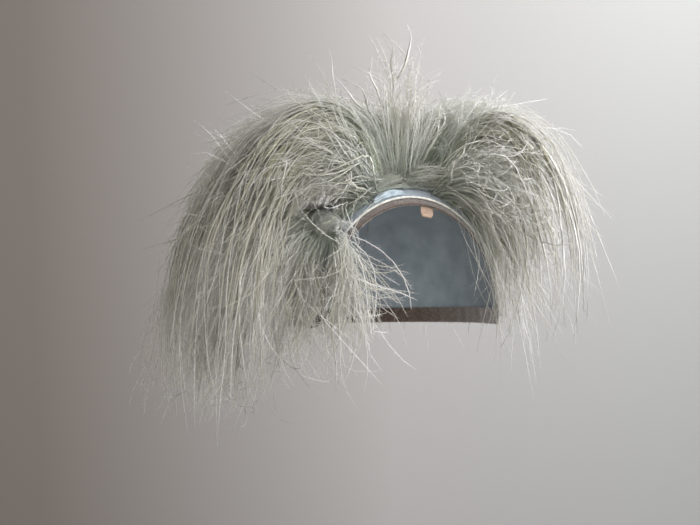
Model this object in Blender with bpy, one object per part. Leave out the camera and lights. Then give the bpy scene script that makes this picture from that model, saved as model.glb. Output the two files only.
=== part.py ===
"""Ostrich feather hat: a close half cap with plumes of long flues.

Metres, +Z up. The origin is the inside of the cap's top. As the hat is worn,
-Y is ahead and +X is the wearer's left. The cap is worn turned, so the hat's
own front points between -Y and -X.
"""

import math
import random

import bmesh
import bpy
from mathutils import Vector

MM = 0.001
GAP = 0.4 * MM

# The close cap: half an ellipsoid, cut away in front.
CAP_HALF_WIDTH = 78.5 * MM
CAP_HALF_LENGTH = 98.5 * MM
CAP_HEIGHT = 110 * MM
CAP_WALL = 1.5 * MM
HAT_FRONT = math.radians(-115)      # direction of the hat's front on the cap's own circle
FRONT_CUT = 0.45                    # how far ahead of its top the cap ends, 1 at its widest
SIDE_POLAR = math.radians(84)       # how far down the cap reaches, from its top, at the sides
BACK_POLAR = math.radians(97)       # and at the back
BACK_SLOPE = 4                      # how fast the front cut gives way to the low back edge
EDGE_ROUNDING = math.radians(5)
RIM_STEPS = 48
CAP_ROWS = (0.18, 0.36, 0.54, 0.7, 0.84, 0.935, 1)    # shares of the way down to the edge

BAND_WALL = 1.2 * MM
BAND_INSIDE = 4.5 * MM
BAND_OUTSIDE = 8.5 * MM
BINDING_RADIUS = 1.0 * MM

# The fold of cloth over the front edge. Turns are measured from the hat's front.
FOLD_FIRST = math.radians(-36)
FOLD_LAST = math.radians(-6)
FOLD_WIDTH = 8.4 * MM
FOLD_RISE = 3.6 * MM
FOLD_BACK = 0.3 * MM                # how far behind the cap's edge it starts

TAB_TURN = math.radians(21)
TAB_HALF_WIDTH = 5 * MM
TAB_WALL = 1.0 * MM
TAB_TOP = 2 * MM                    # both ends are measured down from the cap's edge
TAB_END = 20 * MM
TAB_END_SHARE = 0.72                # the width of its end, as a share of the rest

QUILL_FIRST = math.radians(-30)
QUILL_LAST = math.radians(6)
QUILL_RADIUS = 1.9 * MM
QUILL_END_RADIUS = 0.8 * MM
QUILL_BACK = 11.4 * MM              # how far behind the cap's edge it runs

KNOT_TURN = math.radians(-66)
KNOT_POLAR = math.radians(50)
KNOT_ALONG = Vector((0.25, -0.9, -0.16))
KNOT_LENGTH = 42 * MM
KNOT_RADIUS = 9.5 * MM
KNOT_WIND = 1.6 * MM                # how far its windings stand up
KNOT_WINDINGS = 3
KNOT_DEPTH = 0.9                    # its depth off the cap, as a share of its width

# The middle of the plumes, on the cap behind its front edge.
PLUME_MIDDLE = Vector((-4 * MM, -16 * MM, 0))
PLUME_FRONT = math.radians(-110.3)  # the hat's front as a true direction in plan

# The arches that the flues follow, seen in plan around the middle of the plumes.
# Each row is read at its azimuth, in degrees from the hat's front towards the
# wearer's left. Then, in mm: the radius of the root on the cap, the height that
# it rises towards, and the radius and height of the shoulder and of the tip.
# azimuth, root, rise, shoulder, shoulder height, tip, tip height
OUTER_ARCH = (
    (52, 30, 100, 158, 80, 140, -120),
    (84, 20, 118, 182, 86, 162, -126),
    (108, 14, 122, 190, 86, 168, -134),
    (144, 10, 124, 200, 84, 174, -150),
    (180, 10, 126, 214, 86, 186, -165),
    (216, 10, 126, 222, 86, 190, -176),
    (250, 12, 124, 222, 86, 190, -184),
    (283, 15, 118, 214, 80, 186, -188),
)
SPRAY_ARCH = (
    (-54, 10, 44, 60, 72, 76, 82),
    (-24, 8, 52, 34, 86, 36, 122),
    (0, 8, 42, 24, 68, 34, 86),
    (28, 10, 36, 44, 60, 72, 74),
)
# The short flues close round the cap, with radii beyond the cap's widest outline.
UNDER_ARCH = (
    (66, -24, -8, 26, -34, 20, -138),
    (120, -30, -6, 30, -36, 24, -150),
    (180, -34, -6, 32, -38, 26, -160),
    (228, -30, -6, 32, -36, 28, -162),
)
# The flues on the faces of the two lobes, from the topmost, 0, to the one nearest
# the cap, 1: place, azimuth, then the arch in mm as above.
RIGHT_FACE = (
    (0, 291, 14, 114, 208, 80, 182, -184),
    (0.35, 296, 26, 84, 180, 56, 158, -182),
    (0.7, 298, 40, 40, 150, 34, 136, -170),
    (1, 297, 50, 4, 122, 10, 118, -152),
)
LEFT_FACE = (
    (0, 51, 26, 100, 154, 78, 138, -122),
    (0.4, 47, 33, 66, 132, 46, 120, -134),
    (0.75, 46, 40, 32, 108, 14, 102, -140),
    (1, 47, 46, 4, 90, -14, 90, -132),
)
# The flues that fall from under the knot, from its back end, 0, to its front end, 1.
# place, turn of the root in degrees, then in mm how far the shoulder and the tip stand
# out from the root, how far ahead of it they lie, and how high they are above it
FRINGE_FALL = (
    (0, -84, 20, -6, 4, 22, -12, -92),
    (0.35, -77, 26, 20, 6, 26, 28, -96),
    (0.7, -69, 42, 48, 4, 42, 74, -108),
    (1, -63, 34, 66, -2, 30, 116, -96),
)
FRINGE_POLAR = math.radians(63)     # how far down the cap its roots lie, where the cap reaches
FRINGE_INSET = math.radians(3.4)    # and how far inside the cap's edge where it doesn't
FRINGE_LIFT = 26 * MM               # how far its roots rise off the cap

ROOT_REACH = 16                     # mm from an arch's root to the corner that it rises to
EDGE_DEPTH = 2.6                    # mm, the thickness of a plume at its roots
RIDGE_SHARE = 0.32                  # a lock's ridge, as a share of its plume's depth
TIP_TAPER = 0.87                    # how much of a lock's width is gone at its tip
LENGTH_SPREAD = 0.14                # how much shorter a lock may be
TIP_CURL = 8 * MM                   # how far a lock's tip may stand in or out
FLY_OUT = 26 * MM                   # and how far out a flying lock's tip stands

# Each plume of arches: its table, first and last azimuth, locks, depth in mm, and
# the locks that fly out past the rest.
PLUMES = (
    ("plume_left_front", OUTER_ARCH, 57, 82, 3, 24, (1,)),
    ("plume_left", OUTER_ARCH, 82, 112, 4, 26, (1,)),
    ("plume_left_back", OUTER_ARCH, 112, 148, 4, 26, ()),
    ("plume_back", OUTER_ARCH, 148, 200, 6, 26, (3,)),
    ("plume_right_back", OUTER_ARCH, 200, 236, 4, 26, (2,)),
    ("plume_right", OUTER_ARCH, 236, 280, 6, 26, (1,)),
    ("front_spray", SPRAY_ARCH, -54, 28, 8, 7, ()),
)


def read_table(table, place):
    """The values of a table at a place, the first column, on smooth curves through its rows."""
    place = min(table[-1][0], max(table[0][0], place))
    index = 0
    while place > table[index + 1][0]:
        index += 1
    before, low, high, after = (table[max(0, index - 1)], table[index], table[index + 1],
                                table[min(len(table) - 1, index + 2)])
    share = (place - low[0]) / (high[0] - low[0])
    values = []
    for a, b, c, d in zip(before[1:], low[1:], high[1:], after[1:]):
        bend = (2 * a - 5 * b + 4 * c - d) * share + (3 * b - a - 3 * c + d) * share * share
        values.append(b + ((c - a) + bend) * share / 2)
    return values


# The cap's surface

def cap_point(turn, polar, lift):
    """A point over the cap. turn is measured from the hat's front, polar from its top."""
    angle = HAT_FRONT + turn
    ring = math.sin(polar)
    return Vector((
        (CAP_HALF_WIDTH + lift) * ring * math.cos(angle),
        (CAP_HALF_LENGTH + lift) * ring * math.sin(angle),
        (CAP_HEIGHT + lift) * math.cos(polar) - CAP_HEIGHT,
    ))


def rim_polar(turn):
    """How far from the top the cap's edge lies: a flat front cut run into a low back edge."""
    turn = abs((turn + math.pi) % (2 * math.pi) - math.pi)
    cosine = math.cos(turn)
    if cosine > FRONT_CUT:
        front = math.asin(FRONT_CUT / cosine)
    else:
        front = math.pi / 2 + (FRONT_CUT - cosine) * BACK_SLOPE
    low = SIDE_POLAR + (BACK_POLAR - SIDE_POLAR) * (1 - cosine) / 2
    nearer = min(front, low)
    blend = math.exp((nearer - front) / EDGE_ROUNDING) + math.exp((nearer - low) / EDGE_ROUNDING)
    return nearer - EDGE_ROUNDING * math.log(blend)


def rim_turns(count):
    """Turns that divide the cap's edge into equal lengths, starting at its front."""
    fine = 720
    turns = [2 * math.pi * i / fine for i in range(fine + 1)]
    points = [cap_point(turn, rim_polar(turn), 0) for turn in turns]
    lengths = [0.0]
    for first, second in zip(points, points[1:]):
        lengths.append(lengths[-1] + (second - first).length)
    result = []
    index = 0
    for step in range(count):
        wanted = lengths[-1] * step / count
        while lengths[index + 1] < wanted:
            index += 1
        share = (wanted - lengths[index]) / (lengths[index + 1] - lengths[index])
        result.append(turns[index] + (turns[index + 1] - turns[index]) * share)
    return result


def below_rim(turn, distance, lift):
    """A point a distance beyond the cap's edge, square to the edge, along the cap's surface."""
    step = 0.01
    here = cap_point(turn, rim_polar(turn), lift)
    along = cap_point(turn + step, rim_polar(turn + step), lift)
    along -= cap_point(turn - step, rim_polar(turn - step), lift)
    outward = surface_normal(here, lift)
    down = outward.cross(along).normalized()
    if down.dot(cap_point(turn, rim_polar(turn) + step, lift) - here) < 0:
        down.negate()
    return onto_cap(here + down * distance, lift)


def surface_normal(point, lift):
    """The outward direction of the cap at a point on it."""
    return Vector((
        point.x / (CAP_HALF_WIDTH + lift) ** 2,
        point.y / (CAP_HALF_LENGTH + lift) ** 2,
        (point.z + CAP_HEIGHT) / (CAP_HEIGHT + lift) ** 2,
    )).normalized()


def onto_cap(point, lift):
    """A point moved to the cap's surface, along the line to the cap's centre."""
    centre = Vector((0, 0, -CAP_HEIGHT))
    offset = point - centre
    size = math.sqrt(
        (offset.x / (CAP_HALF_WIDTH + lift)) ** 2
        + (offset.y / (CAP_HALF_LENGTH + lift)) ** 2
        + (offset.z / (CAP_HEIGHT + lift)) ** 2
    )
    return centre + offset / size


def cap_height(x, y, lift):
    """The height of the cap's outside at a place in plan."""
    rest = 1 - (x / (CAP_HALF_WIDTH + lift)) ** 2 - (y / (CAP_HALF_LENGTH + lift)) ** 2
    return (CAP_HEIGHT + lift) * math.sqrt(max(0.0, rest)) - CAP_HEIGHT


# Making objects

def paint(name, colour, roughness):
    material = bpy.data.materials.new(name)
    material.use_nodes = True
    shader = material.node_tree.nodes["Principled BSDF"]
    shader.inputs["Base Color"].default_value = (*colour, 1)
    shader.inputs["Roughness"].default_value = roughness
    shader.inputs["Metallic"].default_value = 0
    return material


def make_object(name, vertices, faces, colour, roughness=0.9):
    """One closed body from vertices and faces, with its faces turned outwards."""
    mesh = bpy.data.meshes.new(name)
    mesh.from_pydata(vertices, [], faces)
    tool = bmesh.new()
    tool.from_mesh(mesh)
    bmesh.ops.recalc_face_normals(tool, faces=tool.faces)
    if tool.calc_volume(signed=True) < 0:
        bmesh.ops.reverse_faces(tool, faces=tool.faces)
    bmesh.ops.triangulate(tool, faces=tool.faces)
    tool.to_mesh(mesh)
    tool.free()
    mesh.shade_smooth()
    mesh.set_sharp_from_angle(angle=math.radians(50))
    mesh.materials.append(paint(name + "_finish", colour, roughness))
    item = bpy.data.objects.new(name, mesh)
    bpy.context.collection.objects.link(item)
    return item


def bridge_rings(rings, closed_length, closed_ring=True):
    """Faces between rows of equal length. Without closed_length the two ends are capped."""
    size = len(rings[0])
    vertices = [point for ring in rings for point in ring]
    faces = []
    count = len(rings)
    for row in range(count if closed_length else count - 1):
        first = row * size
        second = (row + 1) % count * size
        for index in range(size if closed_ring else size - 1):
            after = (index + 1) % size
            faces.append((first + index, first + after, second + after, second + index))
    if not closed_length:
        faces.append(tuple(range(size)))
        faces.append(tuple(range((count - 1) * size, count * size)))
    return vertices, faces


# The cap and its edge

def make_cap():
    """The cap's wall: two domes that share a narrow edge."""
    around = RIM_STEPS
    down = len(CAP_ROWS)
    turns = rim_turns(around)
    vertices = []
    faces = []
    starts = []
    for lift in (CAP_WALL, 0.0):
        top = len(vertices)
        vertices.append(cap_point(0, 0, lift))
        for row in CAP_ROWS:
            vertices += [cap_point(turn, rim_polar(turn) * row, lift) for turn in turns]
        for index in range(around):
            after = (index + 1) % around
            faces.append((top, top + 1 + index, top + 1 + after))
            for row in range(down - 1):
                first = top + 1 + row * around
                second = first + around
                faces.append((first + index, second + index, second + after, first + after))
        starts.append(top + 1 + (down - 1) * around)
    for index in range(around):
        after = (index + 1) % around
        faces.append((starts[0] + index, starts[1] + index, starts[1] + after, starts[0] + after))
    make_object("cap_shell", vertices, faces, (0.29, 0.35, 0.38))


def make_band():
    """The velvet band inside the edge, which reaches past it."""
    outer = -GAP
    inner = -GAP - BAND_WALL
    rings = []
    for turn in rim_turns(RIM_STEPS):
        rings.append([
            below_rim(turn, -BAND_INSIDE, outer),
            below_rim(turn, BAND_OUTSIDE, outer),
            below_rim(turn, BAND_OUTSIDE, inner),
            below_rim(turn, -BAND_INSIDE, inner),
        ])
    vertices, faces = bridge_rings(rings, True)
    make_object("head_band", vertices, faces, (0.045, 0.03, 0.025))


def make_binding():
    """The pale binding: a thin roll just past the cap's edge, over the band."""
    sides = 6
    rings = []
    for turn in rim_turns(RIM_STEPS):
        ring = []
        for side in range(sides):
            angle = 2 * math.pi * side / sides
            distance = BINDING_RADIUS * (1 + math.cos(angle)) + GAP
            lift = BINDING_RADIUS * (1.05 + math.sin(angle))
            ring.append(below_rim(turn, distance + GAP * 0.5, lift))
        rings.append(ring)
    vertices, faces = bridge_rings(rings, True)
    make_object("edge_binding", vertices, faces, (0.42, 0.40, 0.36))


def make_fold():
    """The soft fold of cloth over the front edge, thick in the middle and thin at its ends."""
    rings = []
    steps = 10
    for step in range(steps + 1):
        share = step / steps
        turn = FOLD_FIRST + (FOLD_LAST - FOLD_FIRST) * share
        swell = 0.3 + 0.7 * math.sin(math.pi * min(1, share * 0.85 + 0.12)) ** 0.8
        near = -FOLD_BACK
        far = near - FOLD_WIDTH * swell
        base = CAP_WALL + GAP
        rings.append([
            below_rim(turn, near, base),
            below_rim(turn, near, base + FOLD_RISE * 0.55 * swell),
            below_rim(turn, (near * 2 + far) / 3, base + FOLD_RISE * swell),
            below_rim(turn, (near + far * 2) / 3, base + FOLD_RISE * 0.8 * swell),
            below_rim(turn, far, base + FOLD_RISE * 0.2 * swell),
            below_rim(turn, far, base),
        ])
    vertices, faces = bridge_rings(rings, False)
    make_object("front_fold", vertices, faces, (0.33, 0.40, 0.45))


def make_tab():
    """The ribbon tab: a short strip from under the band, with a blunt end."""
    steps = 5
    outer = -3 * GAP - BAND_WALL
    inner = outer - TAB_WALL
    here = below_rim(TAB_TURN, 0, outer)
    ahead = below_rim(TAB_TURN + 0.02, 0, outer)
    side = (ahead - here).normalized() * TAB_HALF_WIDTH
    rings = []
    for step in range(steps + 1):
        share = step / steps
        centre = below_rim(TAB_TURN, TAB_TOP + (TAB_END - TAB_TOP) * share, outer)
        width = 1 if step < steps else TAB_END_SHARE
        ring = []
        for sign, lift in ((-1, outer), (0, outer), (1, outer), (1, inner), (-1, inner)):
            ring.append(onto_cap(centre + side * sign * width, lift))
        rings.append(ring)
    vertices, faces = bridge_rings(rings, False)
    make_object("ribbon_tab", vertices, faces, (0.33, 0.25, 0.20))


def tube(points, radii, sides, flatten=1.0):
    """Rings of a tube along points, kept square to it. flatten thins it off the cap."""
    rings = []
    for index, point in enumerate(points):
        before = points[max(0, index - 1)]
        after = points[min(len(points) - 1, index + 1)]
        along = (after - before).normalized()
        outward = surface_normal(point, 0)
        across = along.cross(outward).normalized()
        outward = across.cross(along).normalized()
        ring = []
        for side in range(sides):
            angle = 2 * math.pi * (side + 0.5) / sides
            offset = across * math.cos(angle) + outward * math.sin(angle) * flatten
            ring.append(point + offset * radii[index])
        rings.append(ring)
    return rings


def make_quill():
    """The feather spine along the front edge, thinning away from the knot."""
    steps = 14
    points = []
    radii = []
    for step in range(steps + 1):
        share = step / steps
        radius = QUILL_RADIUS + (QUILL_END_RADIUS - QUILL_RADIUS) * share
        turn = QUILL_FIRST + (QUILL_LAST - QUILL_FIRST) * share
        lift = CAP_WALL + GAP * 1.2 + radius + (1 - share) * 0.6 * MM
        points.append(below_rim(turn, share * MM - QUILL_BACK, lift))
        radii.append(radius)
    vertices, faces = bridge_rings(tube(points, radii, 6), False)
    make_object("front_quill", vertices, faces, (0.30, 0.42, 0.34))


def make_knot():
    """The knot: a fat twisted roll on the cap's side, with raised windings about it."""
    steps = 22
    middle = cap_point(KNOT_TURN, KNOT_POLAR, CAP_WALL)
    outward = surface_normal(middle, CAP_WALL)
    along = (KNOT_ALONG - outward * KNOT_ALONG.dot(outward)).normalized()
    across = along.cross(outward)
    rings = []
    for step in range(steps + 1):
        share = step / steps
        place = (share - 0.5) * KNOT_LENGTH
        body = KNOT_RADIUS * math.sqrt(max(0.06, 1 - (share * 2 - 1) ** 2))
        centre = middle + outward * ((KNOT_RADIUS + KNOT_WIND) * KNOT_DEPTH - GAP) + along * place
        ring = []
        for side in range(8):
            angle = 2 * math.pi * side / 8
            crest = math.cos(angle - 2 * math.pi * KNOT_WINDINGS * share) * KNOT_WIND
            offset = across * math.cos(angle) + outward * math.sin(angle) * KNOT_DEPTH
            ring.append(centre + offset * (body + crest * (0.3 + 0.7 * body / KNOT_RADIUS)))
        rings.append(ring)
    vertices, faces = bridge_rings(rings, False)
    make_object("feather_knot", vertices, faces, (0.42, 0.47, 0.45))


# The plumes

def bezier(corners, share):
    """A point on a curve of four corners, and the curve's direction there."""
    rest = 1 - share
    first, second, third, last = corners
    point = first * rest ** 3 + second * (3 * rest * rest * share)
    point += third * (3 * rest * share * share) + last * share ** 3
    slope = (second - first) * (rest * rest) + (third - second) * (2 * rest * share)
    slope += (last - third) * (share * share)
    return point, slope.normalized()


def plan_direction(azimuth):
    """The direction in plan at an azimuth in degrees from the hat's front."""
    angle = PLUME_FRONT + math.radians(azimuth)
    return Vector((math.cos(angle), math.sin(angle), 0))


def root_on_cap(place):
    """A place moved up or down to just over the cap."""
    return Vector((place.x, place.y, cap_height(place.x, place.y, CAP_WALL + GAP)))


def outline_radius(azimuth):
    """How far the cap's widest outline lies from the middle of the plumes."""
    way = plan_direction(azimuth)
    low, high = 0.0, 0.3
    for _ in range(30):
        middle = (low + high) / 2
        place = PLUME_MIDDLE + way * middle
        inside = (place.x / CAP_HALF_WIDTH) ** 2 + (place.y / CAP_HALF_LENGTH) ** 2 < 1
        low, high = (middle, high) if inside else (low, middle)
    return low


def arch_corners(azimuth, sizes, beyond=0.0):
    """The four corners of a flue's arch at an azimuth, from its sizes in mm."""
    root, rise, shoulder, shoulder_height, tip, tip_height = sizes
    way = plan_direction(azimuth)
    up = Vector((0, 0, MM))

    def place(radius, height):
        return PLUME_MIDDLE + way * (radius * MM + beyond) + up * height

    return (
        root_on_cap(place(root, 0)),
        place(root + ROOT_REACH, rise),
        place(shoulder, shoulder_height),
        place(tip, tip_height),
    )


def face_corners(table, place):
    """The four corners of a flue on a lobe's face."""
    azimuth, *sizes = read_table(table, place)
    return arch_corners(azimuth, sizes)


def fringe_corners(share):
    """The four corners of a flue that falls from under the knot."""
    turn, out, ahead, high, tip_out, tip_ahead, tip_high = read_table(FRINGE_FALL, share)
    turn = math.radians(turn)
    polar = min(FRINGE_POLAR, rim_polar(turn) - FRINGE_INSET)
    root = cap_point(turn, polar, CAP_WALL + GAP)
    outward = surface_normal(root, CAP_WALL)
    flat = Vector((outward.x, outward.y, 0)).normalized()
    forward = Vector((flat.y, -flat.x, 0)).normalized()
    if forward.y > 0:
        forward.negate()
    up = Vector((0, 0, MM))
    return (
        root,
        root + outward * FRINGE_LIFT + forward * ahead * 0.2 * MM,
        root + flat * out * MM + forward * ahead * MM + up * high,
        root + flat * tip_out * MM + forward * tip_ahead * MM + up * tip_high,
    )


def make_plume(name, corners_at, first, last, locks, depth, colour, dice,
               split=0.55, lean=0.3, flying=(), side_at=None, steps=12):
    """A plume: one curved backing that parts into tapering locks.

    corners_at gives a flue's four corners at a place across the plume. first and
    last are its sides, split is how far along the locks part, and lean is how
    much of its width a lock's tip may wander. side_at gives the direction across
    the plume where it is known, as on an arch, and flying names locks that fly out.
    """
    parting = round(steps * split)
    width = (last - first) / locks
    vertices = []
    faces = []

    def point_at(across, share, offset, shift=0.0):
        point, along = bezier(corners_at(across), share)
        if side_at:
            beside = side_at(across)
        else:
            beside = bezier(corners_at(across + 0.01 * width), share)[0] - point
            beside = (beside - along * beside.dot(along)).normalized()
        outward = along.cross(beside).normalized()
        return point + outward * offset + beside * shift

    def thickness(share):
        return (EDGE_DEPTH + (depth - EDGE_DEPTH) * math.sin(math.pi * min(1, share * 1.12)) ** 1.2) * MM

    def add(point):
        vertices.append(point)
        return len(vertices) - 1

    def sink(point, share):
        return root_on_cap(point) if share == 0 and name != "knot_fringe" else point

    # The backing: shared rows along each lock's sides and a raised row along its middle.
    sides_outer, sides_inner, middles = [], [], []
    for index in range(locks + 1):
        across = first + width * index
        shift = GAP / 2 if index == 0 else (-GAP / 2 if index == locks else 0)
        outer_row, inner_row = [], []
        for step in range(parting + 1):
            share = step / steps
            outer_row.append(add(sink(point_at(across, share, 0, shift), share)))
            inner_row.append(add(sink(point_at(across, share, -thickness(share), shift), share)))
        sides_outer.append(outer_row)
        sides_inner.append(inner_row)
    for index in range(locks):
        across = first + width * (index + 0.5)
        row = []
        for step in range(parting + 1):
            share = step / steps
            ridge = depth * RIDGE_SHARE * MM * min(1, share * 2.2)
            row.append(add(sink(point_at(across, share, ridge), share)))
        middles.append(row)
    for index in range(locks):
        left, middle, right = sides_outer[index], middles[index], sides_outer[index + 1]
        inner_left, inner_right = sides_inner[index], sides_inner[index + 1]
        faces.append((left[0], middle[0], right[0], inner_right[0], inner_left[0]))
        for step in range(parting):
            after = step + 1
            faces.append((left[step], middle[step], middle[after], left[after]))
            faces.append((middle[step], right[step], right[after], middle[after]))
            faces.append((inner_left[step], inner_right[step], inner_right[after], inner_left[after]))
    for outer_row, inner_row in ((sides_outer[0], sides_inner[0]), (sides_outer[-1], sides_inner[-1])):
        for step in range(parting):
            after = step + 1
            faces.append((outer_row[step], inner_row[step], inner_row[after], outer_row[after]))

    # The locks, each with its own length, taper and lean.
    for index in range(locks):
        centre = first + width * (index + 0.5)
        length = 1 - LENGTH_SPREAD * dice.random()
        wander = (dice.random() - 0.5) * lean * width
        curl = (dice.random() - 0.35) * TIP_CURL
        if index in flying:
            length, curl = 1, FLY_OUT
        before = (sides_outer[index][-1], middles[index][-1], sides_outer[index + 1][-1],
                  sides_inner[index + 1][-1], sides_inner[index][-1])
        for step in range(parting + 1, steps + 1):
            rest = (step - parting) / (steps - parting)
            share = split + (length - split) * rest
            half = width / 2 * (1 - TIP_TAPER * rest ** 1.8)
            middle = centre + wander * rest * rest
            lift = curl * rest ** 3
            ridge = depth * RIDGE_SHARE * MM * (1 - 0.8 * rest) + lift
            deep = thickness(share) * (1 - 0.72 * rest) - lift
            ring = (
                add(point_at(middle - half, share, lift)),
                add(point_at(middle, share, ridge)),
                add(point_at(middle + half, share, lift)),
                add(point_at(middle + half * 0.9, share, -deep)),
                add(point_at(middle - half * 0.9, share, -deep)),
            )
            for side in range(5):
                after = (side + 1) % 5
                faces.append((before[side], before[after], ring[after], ring[side]))
            before = ring
        faces.append(before)
    make_object(name, vertices, faces, colour, 0.95)


def make_plumes():
    dice = random.Random(11)
    for index, (name, table, first, last, locks, depth, flying) in enumerate(PLUMES):
        shade = 0.92 + 0.04 * (index % 4)
        colour = (0.33 * shade, 0.34 * shade, 0.29 * shade)
        make_plume(
            name, lambda azimuth: arch_corners(azimuth, read_table(table, azimuth)),
            first, last, locks, depth, colour, dice, flying=flying,
            split=0.3 if table is SPRAY_ARCH else 0.55,
            side_at=lambda azimuth: plan_direction(azimuth + 90),
        )


def make_faces():
    """The flues on the faces of the two lobes, beside the open front."""
    dice = random.Random(3)
    make_plume("plume_right_face", lambda place: face_corners(RIGHT_FACE, place),
               0, 1, 7, 7, (0.35, 0.36, 0.31), dice, split=0.6)
    make_plume("plume_left_face", lambda place: face_corners(LEFT_FACE, place),
               1, 0, 6, 8, (0.36, 0.37, 0.32), dice, split=0.6)


def make_under_plumes():
    """The short flues close round the cap, from the wearer's left round the back."""
    dice = random.Random(5)
    make_plume(
        "under_plumes",
        lambda azimuth: arch_corners(azimuth, read_table(UNDER_ARCH, azimuth), outline_radius(azimuth)),
        UNDER_ARCH[0][0], UNDER_ARCH[-1][0], 18, 9, (0.24, 0.25, 0.2), dice, split=0.6, steps=9,
        side_at=lambda azimuth: plan_direction(azimuth + 90),
    )


def make_fringe():
    """The flues that fall from under the knot, beside the cap's open front."""
    dice = random.Random(7)
    make_plume("knot_fringe", fringe_corners, 0, 1, 8, 6, (0.34, 0.36, 0.33), dice, split=0.42, lean=0.5)


for existing in list(bpy.data.objects):
    bpy.data.objects.remove(existing, do_unlink=True)

make_cap()
make_band()
make_binding()
make_fold()
make_tab()
make_quill()
make_knot()
make_plumes()
make_faces()
make_under_plumes()
make_fringe()
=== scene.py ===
import math

import bpy
import numpy as np
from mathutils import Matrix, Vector


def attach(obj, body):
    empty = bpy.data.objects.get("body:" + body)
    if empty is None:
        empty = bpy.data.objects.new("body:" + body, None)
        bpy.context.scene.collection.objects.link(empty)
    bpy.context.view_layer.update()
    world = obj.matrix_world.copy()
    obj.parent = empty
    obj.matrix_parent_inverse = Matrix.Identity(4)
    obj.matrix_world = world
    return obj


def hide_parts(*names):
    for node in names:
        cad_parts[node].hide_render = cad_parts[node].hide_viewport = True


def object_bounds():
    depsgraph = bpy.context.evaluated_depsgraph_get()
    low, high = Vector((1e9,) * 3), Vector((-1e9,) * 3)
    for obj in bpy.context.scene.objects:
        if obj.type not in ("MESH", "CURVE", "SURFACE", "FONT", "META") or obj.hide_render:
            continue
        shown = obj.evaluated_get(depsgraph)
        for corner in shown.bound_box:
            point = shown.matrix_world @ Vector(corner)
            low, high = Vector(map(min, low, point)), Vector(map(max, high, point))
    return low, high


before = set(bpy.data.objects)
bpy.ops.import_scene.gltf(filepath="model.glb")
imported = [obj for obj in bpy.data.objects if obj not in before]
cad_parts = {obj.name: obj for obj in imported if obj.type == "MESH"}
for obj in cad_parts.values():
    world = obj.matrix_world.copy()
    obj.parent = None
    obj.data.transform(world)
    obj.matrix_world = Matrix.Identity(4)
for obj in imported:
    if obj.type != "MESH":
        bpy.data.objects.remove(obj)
cadLow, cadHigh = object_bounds()
mm = 0.001

# Camera

camera = {
    "aroundDegrees": -38,       # seen from the wearer's right of straight ahead
    "away": 0.877,
    "height": 0.024,
    "asideRight": 0.0336,       # the hat stands right of the picture's middle
    "picture": (700, 525),
    "focalPixels": 1070,
    "horizonRow": 151,
    "sensor": 36,
}


def lookAxes():
    # from the hat towards the camera, and to the camera's right, both level
    angle = math.radians(camera["aroundDegrees"])
    return Vector((math.sin(angle), -math.cos(angle), 0)), Vector((math.cos(angle), math.sin(angle), 0))


def makeCamera(c):
    wide, high = c["picture"]
    pitch = math.atan((high / 2 - c["horizonRow"]) / c["focalPixels"])
    back, right = lookAxes()
    ahead = -back * math.cos(pitch) - Vector((0, 0, math.sin(pitch)))
    data = bpy.data.cameras.new("photographCamera")
    data.sensor_width = c["sensor"]
    data.lens = c["sensor"] * c["focalPixels"] / wide
    item = bpy.data.objects.new("photographCamera", data)
    bpy.context.collection.objects.link(item)
    item.location = Vector((0, 0, c["height"])) + back * c["away"] - right * c["asideRight"]
    item.rotation_mode = "QUATERNION"
    item.rotation_quaternion = ahead.to_track_quat("-Z", "Y")
    bpy.context.scene.camera = item


makeCamera(camera)
print("camera placed")

# Materials


def toLinear(hexColour):
    values = [int(hexColour[i:i + 2], 16) / 255 for i in (1, 3, 5)]
    return tuple(v / 12.92 if v <= 0.04045 else ((v + 0.055) / 1.055) ** 2.4 for v in values) + (1,)


def newMaterial(name):
    material = bpy.data.materials.new(name)
    material.use_nodes = True
    return material, material.node_tree, material.node_tree.nodes["Principled BSDF"]


def addNode(tree, kind, settings=None, links=None):
    node = tree.nodes.new(kind)
    for key, value in (settings or {}).items():
        if key in node.inputs:
            node.inputs[key].default_value = value
        else:
            setattr(node, key, value)
    for key, source in (links or {}).items():
        tree.links.new(source, node.inputs[key])
    return node


def setRamp(node, stops):
    ramp = node.color_ramp
    while len(ramp.elements) < len(stops):
        ramp.elements.new(0.5)
    for element, (place, hexColour) in zip(ramp.elements, stops):
        element.position = place
        element.color = toLinear(hexColour)
    return node.outputs["Color"]


def setShader(shader, **values):
    for key, value in values.items():
        shader.inputs[key].default_value = value


bandScale = 0.314               # a wave texture's scale for one band in each millimetre of UV
# Ostrich feather, dyed sage green: matt soft barbs, greener at the roots and paler at the tips
flueFinish = {
    "along": ((0, "#c8dfd0"), (0.14, "#dae3d6"), (0.38, "#e2e3d6"), (0.72, "#e5e2d5"), (1, "#ece9de")),
    # painted shade: low tones come out dark olive, and flues that lie deep or plumes away from the key light
    # are given low tones
    "tones": ((0, "#a9a590"), (0.5, "#dcdac8"), (0.9, "#ffffff")),      # dark where flues lie deep
    "patchMm": 34,
    "patchTones": (0.9, 1.06),
    "barbuleMm": 0.45,          # real barbules lie 0.15 mm apart, drawn coarser so that they show
    "barbuleSlant": 52,
}
# soft down deep in the plumes, duller and darker than the flues: painted shade
downShadeFinish = {**flueFinish, "tones": ((0, "#858475"), (0.5, "#dcdac8"), (0.9, "#ffffff")),
              "patchTones": (0.72, 0.848)}
# the knot, dyed a cooler and stronger green
knotFinish = {**flueFinish, "along": ((0, "#b4cdbd"), (0.14, "#c6d5c9"), (0.38, "#ced5cc"),
                                      (0.72, "#d6d9d2"), (1, "#e0e2dc"))}


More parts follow.
